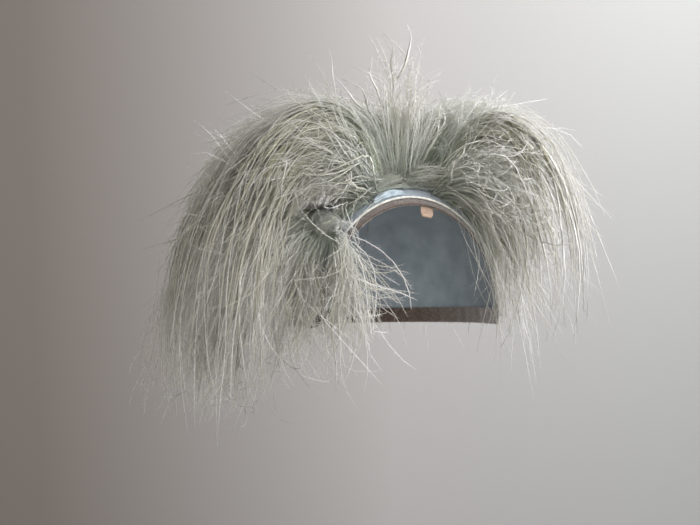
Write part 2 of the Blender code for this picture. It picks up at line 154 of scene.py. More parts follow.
def makeFlueMaterial(name, f):
    material, tree, shader = newMaterial(name)
    setShader(shader, **{"Roughness": 0.8, "Sheen Weight": 0.1, "Sheen Roughness": 0.5,
                         "Specular IOR Level": 0.2, "Subsurface Weight": 0.85,
                         "Subsurface Radius": (1, 0.95, 0.85), "Subsurface Scale": 0.006})
    place = addNode(tree, "ShaderNodeUVMap", {"uv_map": "flue"})
    split = addNode(tree, "ShaderNodeSeparateXYZ", links={"Vector": place.outputs["UV"]})
    along = setRamp(addNode(tree, "ShaderNodeValToRGB", links={"Fac": split.outputs["X"]}), f["along"])
    tone = setRamp(addNode(tree, "ShaderNodeValToRGB", links={"Fac": split.outputs["Y"]}), f["tones"])
    where = addNode(tree, "ShaderNodeTexCoord")
    patches = addNode(tree, "ShaderNodeTexNoise", {"Scale": 1000 / f["patchMm"], "Detail": 2.0},
                      {"Vector": where.outputs["Object"]})
    least, most = f["patchTones"]
    patchTone = addNode(tree, "ShaderNodeMapRange", {"To Min": least, "To Max": most},
                        {"Value": patches.outputs["Fac"]})
    toned = addNode(tree, "ShaderNodeVectorMath", {"operation": "MULTIPLY"}, {0: along, 1: tone})
    shaded = addNode(tree, "ShaderNodeVectorMath", {"operation": "SCALE"},
                     {"Vector": toned.outputs["Vector"], "Scale": patchTone.outputs["Result"]})
    tree.links.new(shaded.outputs["Vector"], shader.inputs["Base Color"])
    grain = addNode(tree, "ShaderNodeUVMap", {"uv_map": "grain"})
    sides = addNode(tree, "ShaderNodeVectorMath", {"operation": "ABSOLUTE"}, {"Vector": grain.outputs["UV"]})
    slanted = addNode(tree, "ShaderNodeMapping", {"Rotation": (0, 0, math.radians(f["barbuleSlant"]))},
                      {"Vector": sides.outputs["Vector"]})
    barbules = addNode(tree, "ShaderNodeTexWave", {"Scale": bandScale / f["barbuleMm"], "Distortion": 1.2,
                                                   "Detail": 1.0, "bands_direction": "X"},
                       {"Vector": slanted.outputs["Vector"]})
    bump = addNode(tree, "ShaderNodeBump", {"Strength": 0.6, "Distance": 0.0004},
                   {"Height": barbules.outputs["Fac"]})
    tree.links.new(bump.outputs["Normal"], shader.inputs["Normal"])
    return material


flueMaterial = makeFlueMaterial("ostrichBarbDyedSage", flueFinish)
downShadedMaterial = makeFlueMaterial("ostrichDownSagePaintedShade", downShadeFinish)
knotMaterial = makeFlueMaterial("ostrichKnotDyedMint", knotFinish)


def weave(tree, shader, finish):
    # over-and-under threads in mm, from the piece's own UV, for bump and a little colour
    grain = addNode(tree, "ShaderNodeUVMap", {"uv_map": "grain"})
    bands = {}
    for place, way in enumerate("XY"):
        wave = addNode(tree, "ShaderNodeTexWave", {"Scale": bandScale / finish["threadMm"], "Distortion": 0.6,
                                                   "Detail": 1.0, "bands_direction": way},
                       {"Vector": grain.outputs["UV"]})
        bands[place] = wave.outputs["Fac"]
    both = addNode(tree, "ShaderNodeMath", {"operation": "ADD"}, bands)
    bump = addNode(tree, "ShaderNodeBump", {"Strength": finish["bump"], "Distance": 0.0003},
                   {"Height": both.outputs["Value"]})
    tree.links.new(bump.outputs["Normal"], shader.inputs["Normal"])
    return both.outputs["Value"]


def makeCloth(name, finish):
    material, tree, shader = newMaterial(name)
    setShader(shader, **finish["shader"])
    threads = weave(tree, shader, finish)
    where = addNode(tree, "ShaderNodeTexCoord")
    patches = addNode(tree, "ShaderNodeTexNoise", {"Scale": 1000 / finish["patchMm"], "Detail": 3.0},
                      {"Vector": where.outputs["Object"]})
    blend = addNode(tree, "ShaderNodeMath", {"operation": "MULTIPLY_ADD"},
                    {0: threads, 2: patches.outputs["Fac"]})
    blend.inputs[1].default_value = finish["threadShare"]
    ramp = addNode(tree, "ShaderNodeValToRGB", links={"Fac": blend.outputs["Value"]})
    tree.links.new(setRamp(ramp, finish["colours"]), shader.inputs["Base Color"])
    return material


# Blue-grey woven silk over a stiff net: satin gleam on the folds, plain weave inside the cap
capMaterial = makeCloth("wovenSilkBlueGrey", {
    "threadMm": 0.9, "bump": 0.35, "patchMm": 16, "threadShare": 0.12,
    "colours": ((0.3, "#65707a"), (0.55, "#717c84"), (0.85, "#808b92")),
    "shader": {"Roughness": 0.62, "Sheen Weight": 0.25, "Sheen Roughness": 0.4}})
silkMaterial = makeCloth("creasedSilkBlueGrey", {
    "threadMm": 0.5, "bump": 0.15, "patchMm": 5, "threadShare": 0.02,
    "colours": ((0.35, "#6d7b84"), (0.55, "#93a1a9"), (0.8, "#bcc6ca")),
    "shader": {"Roughness": 0.42, "Sheen Weight": 0.35, "Sheen Roughness": 0.35}})
# Dark brown velvet: nearly black between the pile as painted shade, dusty brown on the pile as a painted
# highlight where its tips catch light
velvetMaterial = makeCloth("velvetGroundDarkBrown", {
    "threadMm": 0.4, "bump": 0.4, "patchMm": 3, "threadShare": 0.05,
    "colours": ((0.3, "#2a1c14"), (0.6, "#44352b"), (0.85, "#5e5046")),
    "shader": {"Roughness": 0.95, "Sheen Weight": 0.7, "Sheen Roughness": 0.5}})
pileMaterial = makeCloth("velvetPileDarkBrown", {
    "threadMm": 0.7, "bump": 0.0, "patchMm": 4, "threadShare": 0.1,
    "colours": ((0.3, "#3a2b22"), (0.6, "#5d4e43"), (0.85, "#85786c")),
    "shader": {"Roughness": 0.9, "Sheen Weight": 0.6, "Sheen Roughness": 0.4}})
# Pale rayon cord, twisted: gleams on each turn
cordMaterial = makeCloth("twistedRayonCordPale", {
    "threadMm": 0.35, "bump": 0.4, "patchMm": 9, "threadShare": 0.15,
    "colours": ((0.3, "#8f8f88"), (0.6, "#bcbcb5"), (0.85, "#dcdbd4")),
    "shader": {"Roughness": 0.45, "Sheen Weight": 0.2, "Sheen Roughness": 0.4}})
# Taupe ribbed ribbon, lighter and darker in bands along its threads
ribbonMaterial = makeCloth("grosgrainRibbonTaupe", {
    "threadMm": 0.4, "bump": 0.45, "patchMm": 4, "threadShare": 0.2,
    "colours": ((0.3, "#6f5948"), (0.6, "#917966"), (0.85, "#b09a87")),
    "shader": {"Roughness": 0.6, "Sheen Weight": 0.2, "Sheen Roughness": 0.4}})
# Feather spine dyed pale green: smoother and a little glossy, streaked along its length
quillMaterial = makeCloth("featherSpinePaleGreen", {
    "threadMm": 1.4, "bump": 0.2, "patchMm": 3, "threadShare": 0.3,
    "colours": ((0.3, "#8ba493"), (0.6, "#aec4b3"), (0.85, "#cdd9cb")),
    "shader": {"Roughness": 0.4, "Subsurface Weight": 0.3, "Subsurface Scale": 0.002}})

print("materials made")

# The arches that the flues follow. Sizes are the solids' own, in mm, as in the part's source.

capSize = {"halfWidth": 78.5, "halfLength": 98.5, "height": 110, "wall": 1.5, "gap": 0.4,
           "front": math.radians(-115), "frontCut": 0.45, "side": math.radians(84),
           "back": math.radians(97), "backSlope": 4, "rounding": math.radians(5)}
capCentre = np.array((0, 0, -capSize["height"]))
plumeMiddle = np.array((-4.0, -16.0, 0.0))
plumeFront = -110.3             # degrees in plan
rootReach = 16
hatMiddle = np.array((0, 0, -60.0))
upward = np.array((0, 0, 1.0))
# azimuth, root, rise, shoulder, shoulder height, tip, tip height
outerArch = (
    (52, 30, 100, 158, 80, 140, -120),
    (84, 20, 118, 182, 86, 162, -126),
    (108, 14, 122, 190, 86, 168, -134),
    (144, 10, 124, 200, 84, 174, -150),
    (180, 10, 126, 214, 86, 186, -165),
    (216, 10, 126, 222, 86, 190, -176),
    (250, 12, 124, 222, 86, 190, -184),
    (283, 15, 118, 214, 80, 186, -188),
)
sprayArch = (
    (-54, 10, 44, 60, 72, 76, 82),
    (-24, 8, 52, 34, 86, 36, 122),
    (0, 8, 42, 24, 68, 34, 86),
    (28, 10, 36, 44, 60, 72, 74),
)
underArch = (
    (66, -24, -8, 26, -34, 20, -138),
    (120, -30, -6, 30, -36, 24, -150),
    (180, -34, -6, 32, -38, 26, -160),
    (228, -30, -6, 32, -36, 28, -162),
)
# place across the face, azimuth, then as above
rightFace = (
    (0, 291, 14, 114, 208, 80, 182, -184),
    (0.35, 296, 26, 84, 180, 56, 158, -182),
    (0.7, 298, 40, 40, 150, 34, 136, -170),
    (1, 297, 50, 4, 122, 10, 118, -152),
)
leftFace = (
    (0, 51, 26, 100, 154, 78, 138, -122),
    (0.4, 47, 33, 66, 132, 46, 120, -134),
    (0.75, 46, 40, 32, 108, 14, 102, -140),
    (1, 47, 46, 4, 90, -14, 90, -132),
)
# place, turn of the root, out, ahead and up to the shoulder, out, ahead and up to the tip
fringeFall = (
    (0, -84, 20, -6, 4, 22, -12, -92),
    (0.35, -77, 26, 20, 6, 26, 28, -96),
    (0.7, -69, 42, 48, 4, 42, 74, -108),
    (1, -63, 34, 66, -2, 30, 116, -96),
)


def unit(vectors):
    return vectors / np.maximum(np.linalg.norm(vectors, axis=-1, keepdims=True), 1e-12)


def readTable(table, place):
    rows = np.array(table, float)
    stops = rows[:, 0]
    place = np.clip(place, stops[0], stops[-1])
    index = np.clip(np.searchsorted(stops, place, side="right") - 1, 0, len(stops) - 2)
    low = rows[index, 1:]
    high = rows[index + 1, 1:]
    before = rows[np.maximum(index - 1, 0), 1:]
    after = rows[np.minimum(index + 2, len(rows) - 1), 1:]
    share = ((place - stops[index]) / (stops[index + 1] - stops[index]))[..., None]
    bend = (2 * before - 5 * low + 4 * high - after) * share
    bend += (3 * low - before - 3 * high + after) * share ** 2
    return low + (high - before + bend) * share / 2


def capAxes(lift):
    return np.stack((capSize["halfWidth"] + lift, capSize["halfLength"] + lift, capSize["height"] + lift), -1)


def capHeight(x, y, lift):
    wide, long, high = capAxes(lift)
    return high * np.sqrt(np.maximum(0, 1 - (x / wide) ** 2 - (y / long) ** 2)) - capSize["height"]


def planDirection(azimuth):
    angle = np.radians(plumeFront + azimuth)
    return np.stack((np.cos(angle), np.sin(angle), np.zeros_like(angle)), -1)


def outlineRadius(azimuth):
    way = planDirection(azimuth)
    size = np.array((capSize["halfWidth"], capSize["halfLength"]))
    w = way[..., :2] / size
    m = plumeMiddle[:2] / size
    a = (w * w).sum(-1)
    b = (w * m).sum(-1)
    return (-b + np.sqrt(b * b - a * ((m * m).sum() - 1))) / a


def archCorners(azimuth, sizes, beyond=0):
    root, rise, shoulder, shoulderUp, tip, tipUp = np.moveaxis(sizes, -1, 0)
    way = planDirection(azimuth)

    def place(radius, up):
        point = plumeMiddle + way * (radius + beyond)[..., None]
        point[..., 2] += up
        return point

    first = place(root, 0)
    first[..., 2] = capHeight(first[..., 0], first[..., 1], capSize["wall"] + capSize["gap"])
    corners = (first, place(root + rootReach, rise), place(shoulder, shoulderUp), place(tip, tipUp))
    return np.stack(corners, -2)


def rimPolar(turn):
    turn = np.abs((turn + np.pi) % (2 * np.pi) - np.pi)
    cosine = np.cos(turn)
    cut = capSize["frontCut"]
    front = np.where(cosine > cut, np.arcsin(np.clip(cut / np.maximum(cosine, 0.01), -1, 1)),
                     np.pi / 2 + (cut - cosine) * capSize["backSlope"])
    low = capSize["side"] + (capSize["back"] - capSize["side"]) * (1 - cosine) / 2
    nearer = np.minimum(front, low)
    soft = capSize["rounding"]
    return nearer - soft * np.log(np.exp((nearer - front) / soft) + np.exp((nearer - low) / soft))


def capPoint(turn, polar, lift):
    angle = capSize["front"] + turn
    ring = np.sin(polar)
    return np.stack(((capSize["halfWidth"] + lift) * ring * np.cos(angle),
                     (capSize["halfLength"] + lift) * ring * np.sin(angle),
                     (capSize["height"] + lift) * np.cos(polar) - capSize["height"]), -1)


def capNormal(point, lift=0):
    return unit((point - capCentre) / capAxes(lift) ** 2)


def fringeCorners(place):
    turn, out, ahead, high, tipOut, tipAhead, tipHigh = np.moveaxis(readTable(fringeFall, place), -1, 0)
    turn = np.radians(turn)
    polar = np.minimum(math.radians(63), rimPolar(turn) - math.radians(3.4))
    root = capPoint(turn, polar, capSize["wall"] + capSize["gap"])
    outward = capNormal(root, capSize["wall"])
    flat = unit(outward * np.array((1, 1, 0)))
    forward = np.stack((flat[..., 1], -flat[..., 0], np.zeros_like(turn)), -1)
    forward = np.where(forward[..., 1:2] > 0, -forward, forward)
    return np.stack((
        root,
        root + outward * 26 + forward * (ahead * 0.2)[..., None],
        root + flat * out[..., None] + forward * ahead[..., None] + upward * high[..., None],
        root + flat * tipOut[..., None] + forward * tipAhead[..., None] + upward * tipHigh[..., None],
    ), -2)


arches = {"outer": outerArch, "spray": sprayArch, "under": underArch}
lobeFaces = {"rightFace": rightFace, "leftFace": leftFace}


def cornersAt(kind, place):
    if kind in arches:
        beyond = outlineRadius(place) if kind == "under" else 0
        return archCorners(place, readTable(arches[kind], place), beyond)
    if kind in lobeFaces:
        values = readTable(lobeFaces[kind], place)
        return archCorners(values[..., 0], values[..., 1:])
    return fringeCorners(place)


def bezier(corners, share):
    share = share[..., None]
    rest = 1 - share
    first, second, third, last = np.moveaxis(corners, -2, 0)
    point = first * rest ** 3 + second * (3 * rest * rest * share)
    point += third * (3 * rest * share * share) + last * share ** 3
    slope = (second - first) * (rest * rest) + (third - second) * (2 * rest * share)
    return point, unit(slope + (last - third) * (share * share))


def surfaceAt(kind, place, share, sense=1):
    point, along = bezier(cornersAt(kind, place), share)
    if kind in arches:
        beside = planDirection(place + 90)
    else:
        step = 0.01
        forth = bezier(cornersAt(kind, place + step), share)[0]
        back = bezier(cornersAt(kind, place - step), share)[0]
        beside = (forth - back) * sense
        beside = unit(beside - along * (beside * along).sum(-1, keepdims=True))
    return point, along, beside, unit(np.cross(along, beside))


# Flues: thin closed ribbons with a ridge, and barbules as thin spikes along both sides of them

def makeMesh(name, points, triangles, uvMaps, materials, faceMaterial=None):
    mesh = bpy.data.meshes.new(name)
    count = len(triangles)
    mesh.vertices.add(len(points))
    mesh.vertices.foreach_set("co", (points * mm).astype(np.float32).ravel())
    mesh.loops.add(count * 3)
    mesh.loops.foreach_set("vertex_index", triangles.astype(np.int32).ravel())
    mesh.polygons.add(count)
    mesh.polygons.foreach_set("loop_start", np.arange(0, count * 3, 3, dtype=np.int32))
    if faceMaterial is not None:
        mesh.polygons.foreach_set("material_index", faceMaterial.astype(np.int32))
    for uvName, values in uvMaps.items():
        layer = mesh.uv_layers.new(name=uvName)
        layer.data.foreach_set("uv", values[triangles.ravel()].astype(np.float32).ravel())
    for material in materials:
        mesh.materials.append(material)
    mesh.update()
    mesh.validate()
    mesh.shade_smooth()
    item = bpy.data.objects.new(name, mesh)
    bpy.context.collection.objects.link(item)
    return item


def ribbonFaces(spans):
    left = np.arange(spans + 1)
    right = left + spans + 1
    ridge = right + spans + 1
    faces = [(left[0], ridge[0], right[0]), (left[-1], right[-1], ridge[-1])]
    for i in range(spans):
        for a, b in ((ridge, left), (right, ridge), (left, right)):
            faces += [(a[i], b[i], b[i + 1]), (a[i], b[i + 1], a[i + 1])]
    return np.array(faces)


def frames(paths, outward, dice, look):
    flues, count, _ = paths.shape
    along = unit(np.gradient(paths, axis=1))
    outward = unit(outward - along * (outward * along).sum(-1, keepdims=True))
    side = np.cross(along, outward)
    t = np.linspace(0, 1, count)
    roll = dice.normal(0, look["roll"], (flues, 1)) + dice.normal(0, look["twist"], (flues, 1)) * t
    roll = roll[..., None]
    normal = outward * np.cos(roll) + side * np.sin(roll)
    return along, np.cross(along, normal), normal


def packed(points, template, share, tone, far, across):
    flues, each = points.shape[:2]
    triangles = (template[None] + (np.arange(flues) * each)[:, None, None]).reshape(-1, 3)
    toneAll = np.repeat(tone[:, None], each, 1)
    return (points.reshape(-1, 3), triangles, np.stack((share, toneAll), -1).reshape(-1, 2),
            np.stack((far, across), -1).reshape(-1, 2))


def ribbons(paths, share, tone, axes, dice, look):
    _, side, normal = axes
    flues, count, _ = paths.shape
    t = np.linspace(0, 1, count)
    swell = look["rootHalf"] + (look["midHalf"] - look["rootHalf"]) * np.clip(t / 0.35, 0, 1)
    half = dice.uniform(0.75, 1.25, (flues, 1)) * swell
    half = (half * np.clip((1.02 - t) / look["taper"], 0.25, 1))[..., None]
    far = np.linalg.norm(np.diff(paths, axis=1, prepend=paths[:, :1]), axis=-1).cumsum(1)
    ridge = paths + normal * half * look["ridge"]
    points = np.concatenate((paths + side * half, paths - side * half, ridge), 1)
    across = np.concatenate((half[..., 0], -half[..., 0], 0 * far), 1)
    return packed(points, ribbonFaces(count - 1), np.tile(share, (1, 3)), tone, np.tile(far, (1, 3)), across)


spikeFaces = np.array(((0, 1, 3), (1, 2, 3), (2, 0, 3), (0, 2, 1)))


def barbules(paths, share, tone, axes, dice, look):
    flues, count, _ = paths.shape
    each = look["barbules"]
    rows = np.arange(flues)[:, None]
    spot = np.arange(each) + dice.uniform(0, 1, (flues, each))
    t = look["bareTo"] + (0.995 - look["bareTo"]) * spot / each - 1e-6
    first = (t * (count - 1)).astype(int)
    rest = (t * (count - 1) - first)[..., None]
    base = paths[rows, first] * (1 - rest) + paths[rows, first + 1] * rest
    along, side, normal = (axis[rows, first] for axis in axes)
    sense = np.where(np.arange(each) % 2 == 0, 1.0, -1.0)[None, :, None]
    turn = dice.normal(0, look["spin"], (flues, each))[..., None]
    cross = side * np.cos(turn) * sense + normal * np.sin(turn)
    way = unit(cross + along * dice.uniform(0.7, 1.7, (flues, each))[..., None])
    grow = np.clip((t - look["bareTo"]) / 0.22, 0.15, 1) * np.clip((1.04 - t) / 0.16, 0.45, 1)
    length = look["reach"] * grow * dice.uniform(0.55, 1.3, (flues, each))
    length = (length * dice.uniform(0.7, 1.2, (flues, 1)))[..., None]
    flat = unit(np.cross(way, along)) * sense
    wide = look["barbuleHalf"]
    tip = base + way * length - upward * look["sag"] * length
    points = np.stack((base - along * wide, base + along * wide, base + flat * wide * 0.5, tip), 2)
    points = points.reshape(flues, each * 4, 3)
    template = np.concatenate([(spikeFaces if i % 2 else spikeFaces[:, ::-1]) + 4 * i for i in range(each)])
    shareAt = share[rows, first] * (1 - rest[..., 0]) + share[rows, first + 1] * rest[..., 0]
    far = np.zeros((flues, each, 4))
    far[:, :, 3] = length[..., 0]
    across = np.ones((flues, each * 4))
    return packed(points, template, np.repeat(shareAt, 4, 1), tone, far.reshape(flues, -1), across)


# half widths and the barbules' reach in mm
featheryLook = {"rootHalf": 0.18, "midHalf": 0.26, "ridge": 0.5, "roll": 0.6, "twist": 0.8, "taper": 0.12,
                "barbules": 44, "reach": 4.4, "barbuleHalf": 0.22, "bareTo": 0.06, "spin": 0.5, "sag": 0.12}
# flues with sparse barbules, as the inner ones of a plume
plainLook = {**featheryLook, "barbules": 16, "reach": 3.8}
# many flues that cling together, deep in a plume
lockLook = {"rootHalf": 0.5, "midHalf": 0.9, "ridge": 0.15, "roll": 0.5, "twist": 0.6, "taper": 0.6}
lockGrowth = {"flying": 0, "deepest": 0.55, "reach": (1, 14), "hook": 9, "curl": 3, "loft": 4,
              "fromRoot": 0.2, "latest": 0.7, "spans": (0.3, 0.48)}
# painted shade: locks lie deep in the plume and get low tones, so they come out darker
lockShadedTones = (0.2, 0.4)
fluePoints = 17                 # on each flue's path, every second one on its ribbon
lockPoints = 9


def depthAt(share, depth):
    # how deep a plume is at this share of its length, thin at the root and at the tip
    thin = 2.6
    return thin + (depth - thin) * np.sin(np.pi * np.clip(share * 1.12, 0, 1)) ** 1.2


def stretchOf(plume):
    # where a plume's flues start across its arch, how far they go on, and which way
    first, last = plume.get("flues", (plume["from"], plume["to"]))
    return first, last - first, 1 if last > first else -1


def drawFor(dice, number):
    return lambda low, high: dice.uniform(low, high, number)[:, None]


def tuftTones(how, tufts, pick, dice):
    # one tone for each tuft, and a little apart from it for each flue
    tone = how["tone"] + how["tuftTone"] * dice.uniform(0, 1, tufts)[pick]
    return tone + dice.normal(0, how["toneApart"], len(pick))


def waving(draw, t, how):
    return draw(*how["wave"]) * np.sin(2 * np.pi * (t * draw(*how["waves"]) + draw(0, 1)))


# flues that follow the arch: wave in mm, depths as shares of the plume's depth
growth = {"bowing": 2.2, "hookFrom": 0.55, "hookOver": 0.45, "wave": (0.6, 3.2), "waves": (0.7, 2),
          "quillDepths": 1.4, "depthApart": 0.15, "featheryDepth": 0.6,
          "tone": 0.55, "toneApart": 0.16, "deepPaintedShade": 0.5}


def growFlues(plume, number, count, dice, feathery):
    # flues that leave the quills along the arch and follow it to the tips
    first, width, sense = stretchOf(plume)
    feathers = plume["feathers"]
    quillPlace = first + width * (np.arange(feathers) + dice.uniform(0.1, 0.9, feathers)) / feathers
    quillDepth = dice.uniform(0, 1, feathers) ** growth["quillDepths"]
    pick = dice.integers(0, feathers, number)
    t = np.linspace(0, 1, count)[None]
    draw = drawFor(dice, number)
    atRoot = draw(0, 1) < plume["fromRoot"]
    begin = np.where(atRoot, draw(0, 0.1), draw(0.04, plume["latest"]))
    end = np.minimum(begin + draw(*plume["spans"]), 1 - draw(0, 0.1))
    share = begin + (end - begin) * t
    place = quillPlace[pick][:, None] + draw(-0.5, 0.5) * width / feathers * 0.6 + 0 * t
    reach = np.where(draw(0, 1) < 0.5, -1, 1) * draw(*plume["reach"]) * np.clip(begin * 3 + 0.35, 0, 1)
    bow = (1 - np.exp(-growth["bowing"] * t)) / (1 - math.exp(-growth["bowing"]))
    hook = np.clip((t - growth["hookFrom"]) / growth["hookOver"], 0, 1) ** 2
    wave = waving(draw, t, growth) * t
    aside = reach * bow + dice.normal(0, plume["hook"], number)[:, None] * hook + wave
    deep = np.clip(quillDepth[pick] + dice.normal(0, growth["depthApart"], number), 0, 1)[:, None]
    least = plume["deepest"]
    deep = deep * growth["featheryDepth"] if feathery else least + (1 - least) * deep
    flying = draw(0, 1) < plume["flying"]
    offset = -depthAt(share, plume["depth"]) * deep - plume["inset"]
    offset = offset + draw(-1, 1) * plume["loft"] * np.sin(np.pi * t) * np.clip(share * 4, 0, 1)
    offset = offset + dice.normal(0.1, 1, number)[:, None] * plume["curl"] * hook
    offset = offset + flying * plume["flyOut"] * t ** 2
    point, _, beside, outward = surfaceAt(plume["kind"], place, share, sense)
    paths = point + outward * offset[..., None] + beside * aside[..., None]
    paths[..., 2] -= draw(0, plume["droop"]) * t ** 3
    tone = growth["tone"] + plume["tone"] + dice.normal(0, growth["toneApart"], number)
    # painted shade: the deeper a flue lies, the lower its tone and the darker it comes out
    return paths, outward, share, np.clip(tone - growth["deepPaintedShade"] * (deep[:, 0] - 0.3), 0, 1)


# flues that rise in tufts: lengths and curves in mm, places and heights as shares of the plume's
rise = {"tufts": 5, "tipsApart": 0.055, "rootsApart": 0.04, "out": (-1, 3), "sunk": 0.8, "featherySunk": 0.5,
        "bendAt": (0.38, 0.52), "arched": (0.14, 0.26), "archedMore": 0.22, "late": 0.75, "hook": 0.7,
        "nod": (0, 4), "wave": (0.8, 3.6), "waves": (0.7, 1.8), "fullLength": 210,
        "tone": 0.45, "tuftTone": 0.36, "toneApart": 0.12, "deepPaintedShade": 0.3}


def fountainFlues(plume, number, count, dice, feathery):
    # flues that rise from the roots through the plume and come out of its surface, tips outward
    first, width, sense = stretchOf(plume)
    feathers = plume["feathers"] * rise["tufts"]
    quillPlace = dice.uniform(0, 1, feathers)
    quillTarget = dice.uniform(0, 1, feathers)
    pick = dice.integers(0, feathers, number)
    t = np.linspace(0, 1, count)[None]
    draw = drawFor(dice, number)
    spreadOut = dice.normal(0, rise["tipsApart"], (2, number))
    low, high = plume["targets"]
    target = low + (high - low) * np.clip(quillTarget[pick] ** plume["lower"] + spreadOut[0], 0, 1)
    place = first + width * np.clip(quillPlace[pick] + spreadOut[1], 0.01, 0.99)
    rootPlace = quillPlace[pick] + dice.normal(0, rise["rootsApart"], number)
    rootPlace = first + width * np.clip(rootPlace, 0.02, 0.98)
    root = surfaceAt(plume["kind"], rootPlace[:, None], 0.02 + 0.05 * draw(0, 1), sense)[0]
    end, _, beside, outward = surfaceAt(plume["kind"], place[:, None], target[:, None], sense)
    sunk = draw(0, 1) ** 1.6 * (rise["featherySunk"] if feathery else 1)
    out = draw(*rise["out"]) - plume["inset"] - sunk * plume["depth"] * rise["sunk"]
    end = end + outward * out[..., None]
    reach = np.linalg.norm(end - root, axis=-1)[..., None]
    middle = root + (end - root) * draw(*rise["bendAt"])[..., None]
    arched = draw(*rise["arched"]) + rise["archedMore"] * target[:, None]
    middle = middle + upward * reach * arched[..., None]
    begin = draw(*plume["starts"]) * (draw(0, 1) < rise["late"])
    s = (begin + (1 - begin) * t)[..., None]
    paths = root * (1 - s) ** 2 + middle * (2 * s * (1 - s)) + end * s ** 2
    hook = (np.clip((t - 0.5) / 0.5, 0, 1) ** 2)[..., None]
    tuftCurl = dice.normal(0, 1, (feathers, 1, 3))[pick]
    curlWay = (tuftCurl + dice.normal(0, 0.7, (number, 1, 3))) * plume["hook"] * rise["hook"]
    curlWay = curlWay - upward * draw(*rise["nod"])[..., None]
    bend = 0.8 * dice.normal(0, 1, (feathers, 1, 3))[pick] + dice.normal(0, 0.6, (number, 1, 3))
    bend = bend * plume["sway"] * np.sin(np.pi * t)[..., None]
    paths = paths + curlWay * hook + bend + (waving(draw, t, rise) * t)[..., None] * beside
    outward = unit(outward + 0 * paths)
    share = np.clip(s[..., 0] * reach[..., 0] / rise["fullLength"], 0, 1)
    # painted shade: the deeper a flue's end is sunk, the lower its tone and the darker it comes out
    tone = tuftTones(rise, feathers, pick, dice) + plume["tone"] - rise["deepPaintedShade"] * sunk[:, 0]
    return paths, outward, share, np.clip(tone, 0, 1)


# flues that sweep in tufts of about this many
sweep = {"tuft": 8, "together": 0.85, "waves": (0.3, 0.95), "tone": 0.45, "tuftTone": 0.36, "toneApart": 0.1}


def sweepFlues(burst, number, count, dice):
    # flues that leave a place in a fan of directions, in tufts, and bend down under their own weight
    tufts = max(3, number // sweep["tuft"])
    pick = dice.integers(0, tufts, number)

    def draw(low, high, tuftShare=sweep["together"]):
        whole = dice.uniform(0, 1, tufts)[pick] * tuftShare + dice.uniform(0, 1, number) * (1 - tuftShare)
        return low + (high - low) * whole

    fanShare = draw(0, 1, 0.9)
    angle = np.radians(burst["fan"][0] + (burst["fan"][1] - burst["fan"][0]) * fanShare)
    lean = draw(*burst["lean"])
    level, out, first, last, spread = (np.array(burst[key], float)
                                       for key in ("level", "out", "start", "startTo", "spread"))
    start = first + (last - first) * fanShare[:, None] + dice.normal(0, 1, (number, 3)) * spread
    way = unit(level * np.cos(angle)[:, None] + upward * np.sin(angle)[:, None] + out * lean[:, None])
    length = draw(*burst["lengths"], 0.5)
    step = (length / (count - 1))[:, None]
    fall = draw(*burst["fall"], 0.7)
    phase = draw(0, 2 * np.pi)[:, None] + dice.normal(0, 0.8, (number, 3))
    rate = draw(*sweep["waves"])[:, None] * 2 * np.pi
    points = [start]
    for i in range(1, count):
        t = i / (count - 1)
        turn = burst["curl"] * (0.2 + t * t) * np.sin(phase + rate * t)
        turn[:, 2] -= fall * (1 - 0.4 * t)
        turn += out * burst["hug"] * t
        way = unit(way + turn / (count - 1))
        points.append(points[-1] + way * step)
    paths = np.stack(points, 1)
    share = np.repeat(np.linspace(*burst["shares"], count)[None], number, 0)
    return paths, unit(paths - hatMiddle), share, np.clip(tuftTones(sweep, tufts, pick, dice), 0, 1)


# painted shade: the down sheets get low tones, so they come out dark inside the plumes
down = {"rows": 16, "inside": 0.97, "thin": 1.2, "outerTone": 0.12, "innerTone": 0.1}


def makeDown(plume, dice):
    # a closed sheet of down deep in the plume, ragged at its end and streaked along its length, in low tones
    # as painted shade
    columns, rows = plume["downColumns"], down["rows"]
    first, width, sense = stretchOf(plume)
    across = np.linspace(0, 1, columns)
    ragged = 1 + 0.16 * np.sin(across * plume["feathers"] * 4.1 + 1) + dice.normal(0, 0.06, columns)
    share = np.linspace(0, 1, rows)[None] * (plume["downTo"] * ragged)[:, None]
    place = np.repeat((first + width * across)[:, None], rows, 1)
    point, _, _, outward = surfaceAt(plume["kind"], place, share, sense)
    streak = np.sin(across * plume["feathers"] * 15)[:, None] * 1.6 + dice.normal(0, 0.8, (columns, 1))
    streak = streak * np.clip(share * 4, 0, 1)
    depth = depthAt(share, plume["depth"])
    outer = point + outward * (streak - depth * plume["downDepth"])[..., None]
    inner = point + outward * (-depth * down["inside"])[..., None]
    tooThin = depth * (down["inside"] - plume["downDepth"]) < down["thin"]
    inner = np.where(tooThin[..., None], outer - outward * down["thin"], inner)
    points = np.concatenate((outer.reshape(-1, 3), inner.reshape(-1, 3)))
    base = columns * rows
    corners = []
    for a in range(0, base - rows, rows):
        b = a + rows
        for r in range(rows - 1):
            corners.append((a + r, a + r + 1, b + r + 1, b + r))
            corners.append((base + a + r, base + b + r, base + b + r + 1, base + a + r + 1))
        corners.append((a, b, base + b, base + a))
        corners.append((b + rows - 1, b - 1, base + b - 1, base + b + rows - 1))
    for r in range(rows - 1):
        end = base - rows + r
        corners.append((r + 1, r, base + r, base + r + 1))
        corners.append((end, end + 1, base + end + 1, base + end))
    corners = np.array(corners)
    triangles = np.concatenate((corners[:, (0, 1, 2)], corners[:, (0, 2, 3)]))
    share = np.tile(share.ravel(), 2)
    outerTone = np.repeat(down["outerTone"] + 0.06 * streak[:, 1], rows)
    tone = np.concatenate((outerTone, np.full(base, down["innerTone"])))
    flueUv = np.stack((share, np.clip(tone, 0, 1)), -1)
    return points, triangles, flueUv, np.stack((np.tile(place.ravel(), 2) * 3, share * 300), -1)


